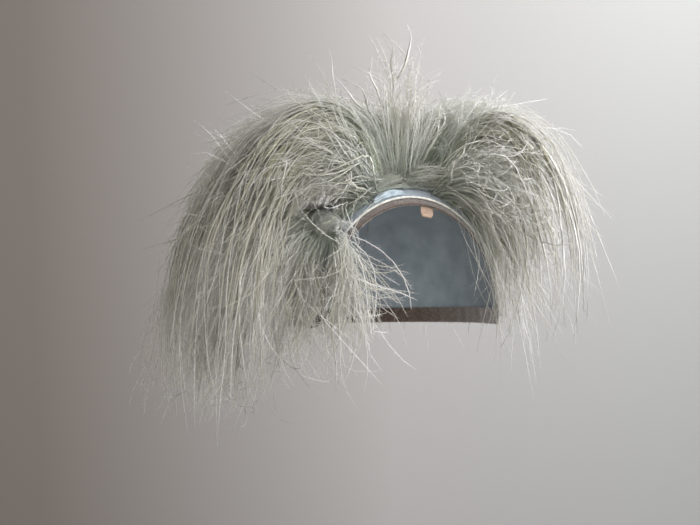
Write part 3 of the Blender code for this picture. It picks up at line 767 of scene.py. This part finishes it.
# sizes in mm; latest, spans, targets and starts are shares of a flue's way from root to tip
arch = {"kind": "outer", "fromRoot": 0.3, "latest": 0.66, "spans": (0.28, 0.5), "reach": (3, 34),
        "hook": 18, "loft": 6, "curl": 8, "flying": 0.06, "flyOut": 14, "droop": 5, "depth": 26, "inset": 4,
        "deepest": 0.15, "downDepth": 0.85, "downTo": 0.5, "targets": (0.16, 1), "lower": 0.7,
        "starts": (0.25, 0.75), "sway": 5, "fountain": 0.6, "tone": -0.05}
face = {**arch, "depth": 9, "reach": (2, 20), "loft": 4, "curl": 4, "inset": 1, "targets": (0.2, 1),
        "starts": (0.05, 0.6), "fountain": 0.8, "tone": 0.05, "downTo": 0.6}
falling = {"latest": 0.25, "spans": (0.5, 0.8), "fromRoot": 0.6, "fountain": 0}
# from the knot over the face of the right lobe
burstLeft = {"start": (-72, -10, -43), "startTo": (-66, 21, -31), "spread": (2.5, 3, 2.5),
             "level": (-1, 0.05, 0), "out": (-0.35, -0.94, 0), "fan": (-76, 40), "lean": (0, 0.7),
             "lengths": (60, 165), "fall": (0.4, 1.5), "curl": 4, "hug": -0.6, "shares": (0, 0.95),
             "feathery": 280, "plain": 121}
# from the knot ahead and down beside the face opening
burstDown = {"start": (-71, -17, -42), "startTo": (-71, -17, -42), "spread": (2, 2.5, 2.5),
             "level": (-0.05, -1, 0), "out": (-1, -0.15, 0), "fan": (-75, 22), "lean": (0, 0.6),
             "lengths": (60, 140), "fall": (1, 2.6), "curl": 4, "hug": -0.2, "shares": (0, 1),
             "feathery": 150, "plain": 50}
# over the cap: from the knot along the front edge to the parting, above the knot, and onto the left lobe
alongEdge = {"turnFrom": (-63, -48), "turnTo": (-30, 12), "insideFrom": (4, 26), "insideTo": (7, 24),
             "lift": (0.8, 4), "bow": (0, 6), "rise": (0, 8), "shares": (0, 0.3), "feathery": 20, "plain": 82}
overKnot = {"turnFrom": (-80, -52), "turnTo": (-62, -6), "insideFrom": (26, 52), "insideTo": (26, 70),
            "lift": (0.8, 5), "bow": (0, 9), "rise": (0, 10), "shares": (0.05, 0.4), "feathery": 26,
            "plain": 110}
ontoLeft = {"turnFrom": (-6, 14), "turnTo": (22, 52), "insideFrom": (8, 30), "insideTo": (3, 24),
            "lift": (0.8, 4), "bow": (0, 8), "rise": (0, 26), "shares": (0, 0.5), "feathery": 26, "plain": 82}
# from the roots up and out of each lobe's open end
sprigRight = {"start": (-34, -20, -8), "startTo": (-34, -20, -8), "spread": (10, 3, 6),
              "level": (-1, -0.05, 0), "out": (0, -1, 0), "fan": (8, 74), "lean": (-0.1, 0.3),
              "lengths": (50, 150), "fall": (0.9, 2.2), "curl": 3.2, "hug": -0.1, "shares": (0, 0.8),
              "feathery": 54, "plain": 77, "locks": 50}
sprigLeft = {**sprigRight, "start": (9, -42, -11), "startTo": (9, -42, -11), "spread": (4, 4, 5),
             "level": (0.5, -0.86, 0), "out": (-0.86, -0.5, 0), "fan": (-4, 68), "fall": (0.8, 2)}
# curling ends that hang under the right lobe
hangRight = {"start": (-96, 44, -98), "startTo": (-146, 116, -84), "spread": (15, 17, 17),
             "level": (-0.5, -0.6, 0), "out": (-0.7, -0.5, 0), "fan": (-95, -48), "lean": (-0.2, 0.4),
             "lengths": (60, 115), "fall": (0.4, 1.6), "curl": 4, "hug": -0.2, "shares": (0.45, 1),
             "feathery": 90, "plain": 50, "locks": 30}
plumes = {
    "plumeLeftFront": {**arch, "node": "plume_left_front", "from": 57, "to": 82, "depth": 24,
                       "feathery": 150, "plain": 110, "locks": 70, "feathers": 4, "downColumns": 40},
    "plumeLeft": {**arch, "node": "plume_left", "from": 82, "to": 112,
                  "feathery": 170, "plain": 121, "locks": 90, "feathers": 5, "downColumns": 46},
    "plumeLeftBack": {**arch, "node": "plume_left_back", "from": 112, "to": 148,
                      "feathery": 140, "plain": 121, "locks": 130, "feathers": 6, "downColumns": 50},
    # painted shade: plumeBack, plumeRightBack and plumeRight, on the side away from the key light, get lower
    # tones and come out darker
    "plumeBack": {**arch, "node": "plume_back", "from": 148, "to": 200, "tone": -0.28,
                  "feathery": 190, "plain": 165, "locks": 210, "feathers": 8, "downColumns": 70},
    "plumeRightBack": {**arch, "node": "plume_right_back", "from": 200, "to": 236, "tone": -0.28,
                       "feathery": 220, "plain": 138, "locks": 150, "feathers": 6, "downColumns": 50},
    "plumeRight": {**arch, "node": "plume_right", "from": 236, "to": 284, "tone": -0.2,
                   "latest": 0.74, "fromRoot": 0.2, "sprigs": (hangRight,),
                   "feathery": 460, "plain": 242, "locks": 260, "feathers": 8, "downColumns": 64},
    "plumeRightFace": {**face, "node": "plume_right_face", "kind": "rightFace", "from": 0, "to": 1,
                       "flues": (0, 0.7), "latest": 0.74, "bursts": (burstLeft,),
                       "covers": (alongEdge, overKnot), "sprigs": (sprigRight,),
                       "feathery": 90, "plain": 88, "locks": 90, "feathers": 9, "downColumns": 50},
    "plumeLeftFace": {**face, "node": "plume_left_face", "kind": "leftFace", "from": 1, "to": 0,
                      "covers": (ontoLeft,), "sprigs": (sprigLeft,),
                      "feathery": 200, "plain": 110, "locks": 100, "feathers": 8, "downColumns": 44},
    "underPlumes": {**face, "node": "under_plumes", "kind": "under", "from": 66, "to": 228, "fountain": 0,
                    "feathery": 70, "plain": 99, "locks": 60, "feathers": 24, "downColumns": 120},
    "knotFringe": {**face, **falling, "node": "knot_fringe", "kind": "fringe", "from": 0, "to": 1,
                   "depth": 6, "downTo": 0.12, "bursts": (burstDown,),
                   "feathery": 20, "plain": 22, "locks": 20, "feathers": 6, "downColumns": 24},
    "frontSpray": {**face, **falling, "node": "front_spray", "kind": "spray", "from": -54, "to": 28,
                   "depth": 7, "downTo": 0.04, "latest": 0.3, "droop": 2,
                   "feathery": 60, "plain": 38, "locks": 10, "feathers": 8, "downColumns": 24},
}
boxRoom = 6                     # mm that a flue may stand out of the solids' box
shrink = 0.76                   # for a flue that would stand out further
knotView = {"middle": (-70, 1, -33), "toward": (-0.62, -0.78, 0.09), "slope": 12,
            "halfLength": 21, "halfWidth": 9, "behind": 14}


def joinParts(name, parts, materials, kinds, node):
    starts = np.cumsum([0] + [len(part[0]) for part in parts[:-1]])
    triangles = np.concatenate([part[1] + start for part, start in zip(parts, starts)])
    points, flueUv, grainUv = (np.concatenate([part[i] for part in parts]) for i in (0, 2, 3))
    faceMaterial = np.concatenate([np.full(len(part[1]), kind) for part, kind in zip(parts, kinds)])
    piece = makeMesh(name, points, triangles, {"flue": flueUv, "grain": grainUv}, materials, faceMaterial)
    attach(piece, "root")
    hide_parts(node)
    return len(triangles)


def capFlues(cover, number, count, dice):
    # flues that lie over the cap from one place to another, bowed a little off it
    draw = drawFor(dice, number)
    t = np.linspace(0, 1, count)[None]
    turn = np.radians(draw(*cover["turnFrom"]) * (1 - t) + draw(*cover["turnTo"]) * t)
    down = draw(*cover["insideFrom"]) * (1 - t) + draw(*cover["insideTo"]) * t
    lift = draw(*cover["lift"]) + draw(*cover["bow"]) * np.sin(np.pi * t) + draw(*cover["rise"]) * t ** 2
    polar = rimPolar(turn) - down / 95
    polar = polar + dice.normal(0, 0.02, number)[:, None] * np.sin(2 * np.pi * (t + draw(0, 1)))
    paths = capPoint(turn, polar, capSize["wall"]) + capNormal(capPoint(turn, polar, 0)) * lift[..., None]
    share = np.linspace(*cover["shares"], count)[None] + 0 * lift
    return paths, capNormal(paths), share, np.clip(dice.normal(0.6, 0.2, number), 0, 1)


def insideBox(paths):
    low, high = np.array(cadLow) / mm - boxRoom, np.array(cadHigh) / mm + boxRoom
    return ((paths > low) & (paths < high)).all((1, 2))


def drawnIn(paths):
    # shortens the flues that would stand out of the box, in place, towards their roots
    outside = ~insideBox(paths)
    paths[outside] = paths[outside, :1] + (paths[outside] - paths[outside, :1]) * shrink
    return paths


def keep(values, which):
    return tuple(value[which] for value in values)


def clearOfKnot(paths):
    # which flues leave the knot in sight from the hat's front right
    toward = unit(np.array(knotView["toward"]))
    across = unit(np.cross(toward, upward))
    offset = paths - np.array(knotView["middle"])
    slope = math.radians(knotView["slope"])
    level = offset @ across
    height = offset @ np.cross(across, toward)
    long = level * math.cos(slope) + height * math.sin(slope)
    short = height * math.cos(slope) - level * math.sin(slope)
    inside = (long / knotView["halfLength"]) ** 2 + (short / knotView["halfWidth"]) ** 2 < 1
    return ~(inside & (offset @ toward > -knotView["behind"])).any(1)


def addFlues(parts, paths, axes, share, tone, dice, look):
    # a ribbon on every second point of each path, and barbules along both its sides
    coarse = [axis[:, ::2] for axis in axes]
    parts.append(ribbons(paths[:, ::2], share[:, ::2], tone, coarse, dice, look))
    parts.append(barbules(paths, share, tone, axes, dice, look))


def makePlume(name, plume, seed):
    dice = np.random.default_rng(seed)
    parts = [makeDown(plume, dice)]
    sprigs = plume.get("sprigs", ())
    for look, kind in ((featheryLook, "feathery"), (plainLook, "plain")):
        feathery = kind == "feathery"
        number = round(plume[kind] * plume["fountain"])
        grown = [fountainFlues(plume, number, fluePoints, dice, feathery)] if number else []
        grown.append(growFlues(plume, plume[kind] - number, fluePoints, dice, feathery))
        grown = [keep(values, clearOfKnot(values[0])) for values in grown]
        grown += [sweepFlues(burst, burst[kind], fluePoints, dice) for burst in plume.get("bursts", ())]
        grown += [capFlues(cover, cover[kind], fluePoints, dice) for cover in plume.get("covers", ())]
        for sprig in sprigs:
            values = sweepFlues(sprig, sprig[kind], fluePoints, dice)
            grown.append(keep(values, clearOfKnot(values[0])))
        joined = tuple(np.concatenate(values) for values in zip(*grown))
        paths, outward, share, tone = keep(joined, insideBox(drawnIn(joined[0])))
        addFlues(parts, paths, frames(paths, outward, dice, look), share, tone, dice, look)
    locks = [growFlues({**plume, **lockGrowth}, plume["locks"], lockPoints, dice, False)]
    locks += [sweepFlues(sprig, sprig["locks"], lockPoints, dice) for sprig in sprigs]
    joined = tuple(np.concatenate(values) for values in zip(*locks))
    which = insideBox(drawnIn(joined[0])) & clearOfKnot(joined[0])
    paths, outward, share, tone = keep(joined, which)
    tone = lockShadedTones[0] + (lockShadedTones[1] - lockShadedTones[0]) * tone
    parts.append(ribbons(paths, share, tone, frames(paths, outward, dice, lockLook), dice, lockLook))
    kinds = (1,) + (0,) * (len(parts) - 1)
    return joinParts(name, parts, (flueMaterial, downShadedMaterial), kinds, plume["node"])


total = 0
for seed, (name, plume) in enumerate(plumes.items()):
    made = makePlume(name, plume, 20 + seed)
    total += made
    print(name, "grown,", made, "triangles")
print("all plumes:", total, "triangles")

# The cap's cloth, band, cord, fold, ribbon, spine and knot, made finer than their solids


def ontoCap(point, lift):
    offset = point - capCentre
    offset = offset / np.linalg.norm(offset / capAxes(lift), axis=-1, keepdims=True)
    return offset + capCentre


def belowRim(turn, distance, lift):
    # the place that lies this far down the cap's own curve from its edge
    turn, distance, lift = np.broadcast_arrays(*(np.asarray(v, float) for v in (turn, distance, lift)))
    step = 0.01
    here, after, before = (capPoint(t, rimPolar(t), lift) for t in (turn, turn + step, turn - step))
    down = unit(np.cross(capNormal(here, lift), after - before))
    lower = capPoint(turn, rimPolar(turn) + step, lift) - here
    down = down * np.where((down * lower).sum(-1, keepdims=True) < 0, -1, 1)
    return ontoCap(here + down * distance[..., None], lift)


def rimTurns(count):
    turns = np.linspace(0, 2 * np.pi, 1441)
    points = capPoint(turns, rimPolar(turns), 0)
    lengths = np.concatenate(((0,), np.linalg.norm(np.diff(points, axis=0), axis=-1).cumsum()))
    return np.interp(np.linspace(0, lengths[-1], count, endpoint=False), lengths, turns), lengths[-1]


def loft(rings, closedLength):
    rows, size, _ = rings.shape
    points = rings.reshape(-1, 3)
    row, column = np.meshgrid(np.arange(rows if closedLength else rows - 1), np.arange(size), indexing="ij")
    a = row * size + column
    b = row * size + (column + 1) % size
    c = (row + 1) % rows * size + (column + 1) % size
    d = (row + 1) % rows * size + column
    faces = [np.stack((a, b, c), -1).reshape(-1, 3), np.stack((a, c, d), -1).reshape(-1, 3)]
    if not closedLength:
        points = np.concatenate((points, rings[:1].mean(1), rings[-1:].mean(1)))
        ring = np.arange(size)
        after = (ring + 1) % size
        last = (rows - 1) * size
        faces.append(np.stack((after, ring, np.full(size, rows * size)), -1))
        faces.append(np.stack((last + ring, last + after, np.full(size, rows * size + 1)), -1))
    faces = np.concatenate(faces)
    corners = points[faces]
    if np.einsum("ij,ij->", corners[:, 0], np.cross(corners[:, 1], corners[:, 2])) < 0:
        faces = faces[:, ::-1]
    far = np.linalg.norm(np.diff(rings.mean(1), axis=0, prepend=rings[:1].mean(1)), axis=-1).cumsum()
    around = np.linalg.norm(np.diff(rings[rows // 2], axis=0, prepend=rings[rows // 2][:1]), axis=-1).cumsum()
    grain = np.stack(np.meshgrid(far, around, indexing="ij"), -1).reshape(-1, 2)
    grain = np.concatenate((grain, np.zeros((len(points) - len(grain), 2))))
    return points, faces, np.full((len(points), 2), 0.5), grain


def spikes(base, way, length, wide, dice):
    side = unit(np.cross(way, dice.normal(0, 1, way.shape)))
    other = np.cross(way, side)
    tip = base + way * length[:, None]
    points = np.stack((base + side * wide, base - side * wide * 0.5 + other * wide * 0.87,
                       base - side * wide * 0.5 - other * wide * 0.87, tip), 1)
    template = spikeFaces
    first, second, third, last = points[0]
    if np.dot(np.cross(second - first, last - first), third - first) > 0:
        template = template[:, ::-1]
    share = np.tile(np.array((0, 0, 0, 1.0)), (len(base), 1))
    return packed(points, template, share, dice.uniform(0, 1, len(base)), share, share)


# sizes in mm, here and below
cap = {"around": 144, "rows": 30, "pucker": 0.3, "puckers": 23, "wave": 0.08}


def makeCap():
    turns, _ = rimTurns(cap["around"])
    shares = np.linspace(0.012, 1, cap["rows"])
    rows = [capPoint(turns, rimPolar(turns) * share, capSize["wall"]) for share in shares]
    for share in shares[::-1]:
        pucker = cap["pucker"] * np.sin(turns * cap["puckers"] + 5 * share) ** 2
        lift = pucker * np.clip((share - 0.5) * 3, 0, 1) + cap["wave"] * np.sin(share * 60)
        rows.append(capPoint(turns, rimPolar(turns) * share, lift))
    body = loft(np.stack(rows), False)
    return joinParts("capCloth", [body], (capMaterial,), (0,), "cap_shell")


# one third of the pile stands where the band shows below the cap, and one ninth along its lower edge
band = {"wall": 1.2, "inside": 4.5, "outside": 8.5, "shows": 2.4, "around": 300, "pile": 5200,
        "pileLengths": (0.7, 1.5), "pileHalf": 0.16, "pileApart": 0.35, "pileDown": 0.45}


def makeBand(dice):
    turns, _ = rimTurns(band["around"])
    outer = -capSize["gap"]
    inner = outer - band["wall"]
    down = np.linspace(-band["inside"], band["outside"], 9)
    ripple = 0.12 * np.sin(turns * 60) + 0.1 * np.sin(turns * 37 + 1)
    ring = [belowRim(turns, d, outer - 0.12) for d in down]
    ring += [belowRim(turns, d, inner + 0.15 + ripple) for d in down[::-1]]
    body = loft(np.stack(ring, 1), True)
    count = band["pile"]
    turn = dice.uniform(0, 2 * np.pi, count)
    front = np.arange(count) % 3 == 0
    distance = np.where(front, dice.uniform(band["shows"], band["outside"], count),
                        dice.uniform(-band["inside"], band["outside"], count))
    below = np.arange(count) % 9 == 1
    distance = np.where(below, band["outside"] - 0.1, distance)
    lift = np.where(front, outer - 0.2, inner + 0.3)
    base = belowRim(turn, distance, lift)
    outward = capNormal(base) * np.where(front, 1.0, -1.0)[:, None]
    down = unit(belowRim(turn, distance + 0.5, lift) - base)
    way = np.where(below[:, None], down, outward) + down * band["pileDown"]
    way = unit(way + dice.normal(0, band["pileApart"], base.shape))
    pile = spikes(base, way, dice.uniform(*band["pileLengths"], count), band["pileHalf"], dice)
    materials = (velvetMaterial, pileMaterial)
    return joinParts("velvetBand", [body, pile], materials, (0, 1), "head_band")


cord = {"radius": 1.0, "turn": 4.2, "around": 900, "sides": 10, "least": 0.88, "ply": 0.12}


def makeCord():
    turns, length = rimTurns(cord["around"])
    far = np.linspace(0, length, len(turns), endpoint=False)
    plies = round(length / cord["turn"])
    ring = []
    for side in range(cord["sides"]):
        angle = 2 * np.pi * side / cord["sides"]
        twist = np.cos(2 * angle - 2 * np.pi * plies * far / length)
        radius = cord["radius"] * (cord["least"] + cord["ply"] * twist)
        ring.append(belowRim(turns, cord["radius"] + radius * math.cos(angle) + capSize["gap"] * 1.5,
                             cord["radius"] * 1.05 + radius * math.sin(angle)))
    body = loft(np.stack(ring, 1), True)
    return joinParts("edgeCord", [body], (cordMaterial,), (0,), "edge_binding")


# first and last in degrees round the cap's edge, as for the spine
fold = {"first": -36, "last": -6, "width": 8.4, "rise": 3.6, "back": 0.3, "creaseDeep": 0.45,
        "profile": (0.15, 0.6, 1.0, 0.8, 0.25, 0.05), "profileAt": (0, 0.12, 0.4, 0.7, 0.94, 1)}


def makeFold():
    share = np.linspace(0, 1, 70)
    turn = np.radians(fold["first"] + (fold["last"] - fold["first"]) * share)
    swell = 0.3 + 0.7 * np.sin(np.pi * np.minimum(1, share * 0.85 + 0.12)) ** 0.8
    base = capSize["wall"] + capSize["gap"]
    over = np.linspace(0, 1, 22)
    heights = np.interp(over, fold["profileAt"], fold["profile"])
    ring = []
    for place, height in zip(over, heights):
        crease = np.sin(place * 17 + 2.2 * np.sin(share * 5) + share * 4)
        crease = crease + 0.6 * np.sin(place * 31 - share * 9)
        crease = crease * fold["creaseDeep"] * np.sin(np.pi * place) * np.clip(swell * 1.2, 0, 1)
        ring.append(belowRim(turn, -fold["back"] - fold["width"] * swell * place,
                             base + np.maximum(0.1, fold["rise"] * height * swell + crease - 0.3)))
    for place in over[-2:0:-3]:
        ring.append(belowRim(turn, -fold["back"] - fold["width"] * swell * place, base))
    body = loft(np.stack(ring, 1), False)
    return joinParts("silkFold", [body], (silkMaterial,), (0,), "front_fold")


tab = {"turn": 21, "halfWidth": 5, "wall": 1.0, "top": 2, "end": 20, "endShare": 0.72, "ribs": 16,
       "threads": 34, "threadLengths": (1.6, 3.6), "threadHalf": 0.16}


def makeTab(dice):
    outer = -3 * capSize["gap"] - band["wall"]
    turn = math.radians(tab["turn"])
    here = belowRim(turn, 0, outer)
    side = unit(belowRim(turn + 0.02, 0, outer) - here)
    share = np.linspace(0, 1, 44)
    centre = belowRim(turn, tab["top"] + (tab["end"] - 1.5 - tab["top"]) * share, outer)
    width = tab["halfWidth"] * np.where(share < 0.8, 1, 1 - (share - 0.8) / 0.2 * (1 - tab["endShare"]))
    ribs = np.cos(share * 2 * np.pi * tab["ribs"])
    width = width + 0.16 * ribs
    ring = []
    across = np.linspace(-1, 1, 13)
    for sense, lift in ((1, outer), (-1, outer - tab["wall"])):
        for a in across[::sense]:
            rib = 0.12 * ribs * (1 - a * a * 0.3) + 0.15 * np.sin(a * 2.5 + share * 3)
            ring.append(ontoCap(centre + side * (width * a)[:, None], lift - sense * (0.2 - rib)))
    body = loft(np.stack(ring, 1), False)
    count = tab["threads"]
    spot = dice.uniform(-1, 1, count) * tab["halfWidth"] * tab["endShare"]
    end = belowRim(turn, tab["end"] - 1.9, outer - tab["wall"] / 2)
    base = end + side * spot[:, None] + dice.normal(0, 0.12, (count, 3))
    down = unit(belowRim(turn, tab["end"], outer) - belowRim(turn, tab["end"] - 2, outer))
    way = unit(down + dice.normal(0, 0.28, (count, 3)))
    threads = spikes(base, way, dice.uniform(*tab["threadLengths"], count), tab["threadHalf"], dice)
    return joinParts("grosgrainTab", [body, threads], (ribbonMaterial,), (0, 0), "ribbon_tab")


def tubeRings(points, radii, outward, sides):
    along = unit(np.gradient(points, axis=0))
    across = unit(np.cross(along, outward))
    up = np.cross(across, along)
    ring = [points + (across * math.cos(a) + up * math.sin(a)) * radii[:, None]
            for a in np.linspace(0, 2 * np.pi, sides, endpoint=False)]
    return np.stack(ring, 1)


quill = {"first": -30, "last": 6, "radius": 1.9, "endRadius": 0.8, "back": 11.4, "flat": 0.8, "barbs": 90,
         "barbLengths": (5, 13), "barbHalf": 0.32, "barbPoints": 11}


def makeQuill(dice):
    share = np.linspace(0, 1, 50)
    radius = quill["radius"] + (quill["endRadius"] - quill["radius"]) * share
    turn = np.radians(quill["first"] + (quill["last"] - quill["first"]) * share)
    lift = capSize["wall"] + capSize["gap"] * 1.2 + radius + (1 - share) * 0.6
    points = belowRim(turn, share - quill["back"], lift)
    outward = capNormal(points)
    knobbly = radius * (1 + 0.07 * np.sin(share * 46))
    rounded = knobbly * np.sqrt(np.clip(np.minimum(share, 1 - share) * 30, 0.2, 1))
    body = loft(tubeRings(points, rounded * quill["flat"], outward, 10), False)
    count = quill["barbs"]
    pick = dice.integers(1, 47, count)
    base = points[pick]
    along = unit(points[pick + 1] - points[pick])
    normal = outward[pick]
    sense = np.where(dice.uniform(0, 1, count) < 0.5, 1.0, -1.0)[:, None]
    side = np.cross(along, normal) * sense
    t = np.linspace(0, 1, quill["barbPoints"])[None, :, None]
    length = dice.uniform(*quill["barbLengths"], (count, 1, 1))
    way = along * 1.2 + side * dice.uniform(0.1, 0.5, (count, 1))
    way = unit(way + normal * dice.uniform(-0.05, 0.25, (count, 1)))
    paths = base[:, None] + way[:, None] * length * t
    paths = paths + normal[:, None] * 0.6 - normal[:, None] * length * 0.12 * t * t
    shareOf = np.repeat(np.linspace(0, 0.45, quill["barbPoints"])[None], count, 0)
    look = {**plainLook, "midHalf": quill["barbHalf"]}
    axes = frames(paths, np.repeat(normal[:, None], quill["barbPoints"], 1), dice, look)
    barbs = ribbons(paths, shareOf, dice.uniform(0.4, 0.8, count), axes, dice, look)
    materials = (quillMaterial, knotMaterial)
    return joinParts("leafQuill", [body, barbs], materials, (0, 1), "front_quill")


# turn and polar in degrees on the cap; wound flues lie round the knot, and the others flare out of its ends
knot = {"turn": -66, "polar": 50, "along": (0.25, -0.9, -0.16), "length": 42, "radius": 9.5, "wind": 1.6,
        "crests": 3, "depth": 0.9, "strands": 8, "strandDeep": 1.3, "sunk": 1.6, "twist": 1.5,
        "wound": 50, "woundFeathery": 46, "through": 70, "throughFeathery": 40,
        "flare": (8, 40), "flareReach": 2.6, "flareFall": 55}
woundLook = {"roll": 0.2, "twist": 0.3, "reach": 1.6, "barbules": 44}


def makeKnot(dice):
    middle = capPoint(math.radians(knot["turn"]), math.radians(knot["polar"]), capSize["wall"])
    outward = capNormal(middle, capSize["wall"])
    along = np.array(knot["along"])
    along = unit(along - outward * (along * outward).sum())
    across = np.cross(along, outward)
    middle = middle + outward * ((knot["radius"] + knot["wind"]) * knot["depth"] - capSize["gap"])

    def at(share, angle, lift):
        body = knot["radius"] * np.sqrt(np.maximum(0.05, 1 - (share * 2 - 1) ** 2))
        crest = np.cos(angle - 2 * np.pi * knot["crests"] * share) * knot["wind"] * 0.8
        radius = (body + crest * (0.3 + 0.7 * body / knot["radius"]) + lift)[..., None]
        offset = across * np.cos(angle)[..., None] + outward * np.sin(angle)[..., None] * knot["depth"]
        return middle + along * ((share - 0.5) * knot["length"])[..., None] + offset * radius

    def turned(where, spread):
        # how far round the knot each flue has wound
        begin = dice.uniform(0, 2 * np.pi, (len(where), 1))
        return begin + 2 * np.pi * where * dice.normal(knot["twist"], spread, (len(where), 1))

    around = np.linspace(0, 2 * np.pi, 64, endpoint=False)
    share, angle = np.meshgrid(np.linspace(0, 1, 90), around, indexing="ij")
    strand = np.abs(np.sin(knot["strands"] * (angle - 2 * np.pi * knot["twist"] * share) / 2))
    parts = [loft(at(share, angle, knot["strandDeep"] * strand - knot["sunk"]), False)]
    t = np.linspace(0, 1, fluePoints)[None]
    # flues wound round the knot
    for look, count in ((plainLook, knot["wound"]), (featheryLook, knot["woundFeathery"])):
        look = {**look, **woundLook}
        begin = dice.uniform(0.0, 0.6, (count, 1))
        where = np.clip(begin + dice.uniform(0.3, 0.6, (count, 1)) * t, 0.01, 0.99)
        angle = turned(where, 0.35)
        paths = at(where, angle, -0.4 + 1.3 * np.sin(np.pi * t) + dice.uniform(0, 0.8, (count, 1)))
        normal = unit(paths - (middle + along * ((where - 0.5) * knot["length"])[..., None]))
        axes = frames(paths, normal, dice, look)
        tone = np.clip(dice.normal(0.7, 0.2, count), 0, 1)
        shareOf = np.repeat(np.linspace(0.2, 0.9, fluePoints)[None], count, 0)
        addFlues(parts, paths, axes, shareOf, tone, dice, look)
    # flues that run through it and flare out at its ends
    for look, count in ((plainLook, knot["through"]), (featheryLook, knot["throughFeathery"])):
        sense = np.where(dice.uniform(0, 1, (count, 1)) < 0.75, 1, -1)
        where = 0.5 + sense * (dice.uniform(-0.35, 0.1, (count, 1)) + dice.uniform(0.5, 0.95, (count, 1)) * t)
        beyond = np.clip(np.abs(where - 0.5) - 0.5, 0, 1)
        angle = turned(where, 0.3)
        paths = at(np.clip(where, 0, 1), angle, 0.5 + beyond * dice.uniform(*knot["flare"], (count, 1)))
        paths = paths + along * (sense * beyond * knot["length"])[..., None]
        paths[..., 2] -= knot["flareFall"] * beyond ** 2 * dice.uniform(0.5, 1.5, (count, 1))
        axes = frames(paths, unit(paths - middle), dice, look)
        tone = np.clip(dice.normal(0.8, 0.15, count), 0, 1)
        shareOf = np.repeat(np.linspace(0.1, 0.8, fluePoints)[None], count, 0)
        addFlues(parts, paths, axes, shareOf, tone, dice, {**look, "reach": knot["flareReach"]})
    return joinParts("featherKnot", parts, (knotMaterial,), (0,) * len(parts), "feather_knot")


trimDice = np.random.default_rng(7)
for made in (makeCap(), makeBand(trimDice), makeCord(), makeFold(), makeTab(trimDice), makeQuill(trimDice),
             makeKnot(trimDice)):
    total += made
print("trim made, all pieces now", total, "triangles")

# Stage and light

# the wall's colour is painted darker on the side away from the window: painted shade
stage = {"floorZ": -1.2, "wallAway": 2.2, "size": 12, "fadeReach": 0.95, "wallShadedLeft": "#756e68",
         "wallMiddle": "#9d9b99", "wallRight": "#959694", "floorColour": "#9a9894",
         "air": "#d5d6da", "airStrength": 0.45}
# place and target: to the camera's right, towards the camera, up
lights = {
    "windowKey": {"place": (1.5, 0.75, 0.95), "target": (0, 0, 0), "power": 90, "size": 2,
                  "colour": "#faf9ff"},
    "roomFill": {"place": (0.1, 1.8, 0.3), "target": (0, 0, 0), "power": 42, "size": 2,
                 "colour": "#fffaf4"},
    "wallWash": {"place": (1.4, -0.9, 1.3), "target": (0.6, -2.2, -0.3), "power": 60, "size": 1.2,
                 "colour": "#ffffff"},
}


def makeStage(s):
    back, _ = lookAxes()
    for name, colour in (("wall", s["wallRight"]), ("floor", s["floorColour"])):
        bpy.ops.object.select_all(action="DESELECT")
        bpy.ops.mesh.primitive_plane_add(size=s["size"])
        item = bpy.context.object
        item.name = name
        if name == "wall":
            item.rotation_euler = (math.pi / 2, 0, math.radians(camera["aroundDegrees"]))
            item.location = -back * s["wallAway"]
        else:
            item.location = (0, 0, s["floorZ"])
        material, tree, shader = newMaterial(name + "PaintMatt")
        setShader(shader, **{"Base Color": toLinear(colour), "Roughness": 0.9})
        # painted shade: the wall's colour runs from dark on the left, away from the key light, to light on
        # the right
        if name == "wall":
            where = addNode(tree, "ShaderNodeTexCoord")
            apart = addNode(tree, "ShaderNodeSeparateXYZ", links={"Vector": where.outputs["Object"]})
            ends = {"From Min": -s["fadeReach"], "From Max": s["fadeReach"]}
            level = addNode(tree, "ShaderNodeMapRange", ends, {"Value": apart.outputs["X"]})
            shadeRamp = addNode(tree, "ShaderNodeValToRGB", links={"Fac": level.outputs["Result"]})
            setRamp(shadeRamp, ((0, s["wallShadedLeft"]), (0.55, s["wallMiddle"]), (1, s["wallRight"])))
            tree.links.new(shadeRamp.outputs["Color"], shader.inputs["Base Color"])
        item.data.materials.append(material)


def addLight(name, light):
    back, right = lookAxes()
    place, target = (right * aside + back * near + Vector((0, 0, up))
                     for aside, near, up in (light["place"], light["target"]))
    data = bpy.data.lights.new(name, "AREA")
    data.energy = light["power"]
    data.color = toLinear(light["colour"])[:3]
    data.shape = "DISK"
    data.size = light["size"]
    item = bpy.data.objects.new(name, data)
    bpy.context.collection.objects.link(item)
    item.location = place
    item.rotation_mode = "QUATERNION"
    item.rotation_quaternion = (target - place).to_track_quat("-Z", "Y")
    item.visible_camera = False


def makeLights():
    for name, light in lights.items():
        addLight(name, light)
    world = bpy.data.worlds.new("roomLight")
    world.use_nodes = True
    background = world.node_tree.nodes["Background"]
    setShader(background, Color=toLinear(stage["air"]), Strength=stage["airStrength"])
    bpy.context.scene.world = world


makeStage(stage)
makeLights()
bpy.context.scene.view_settings.view_transform = "Standard"
print("stage and lights placed")
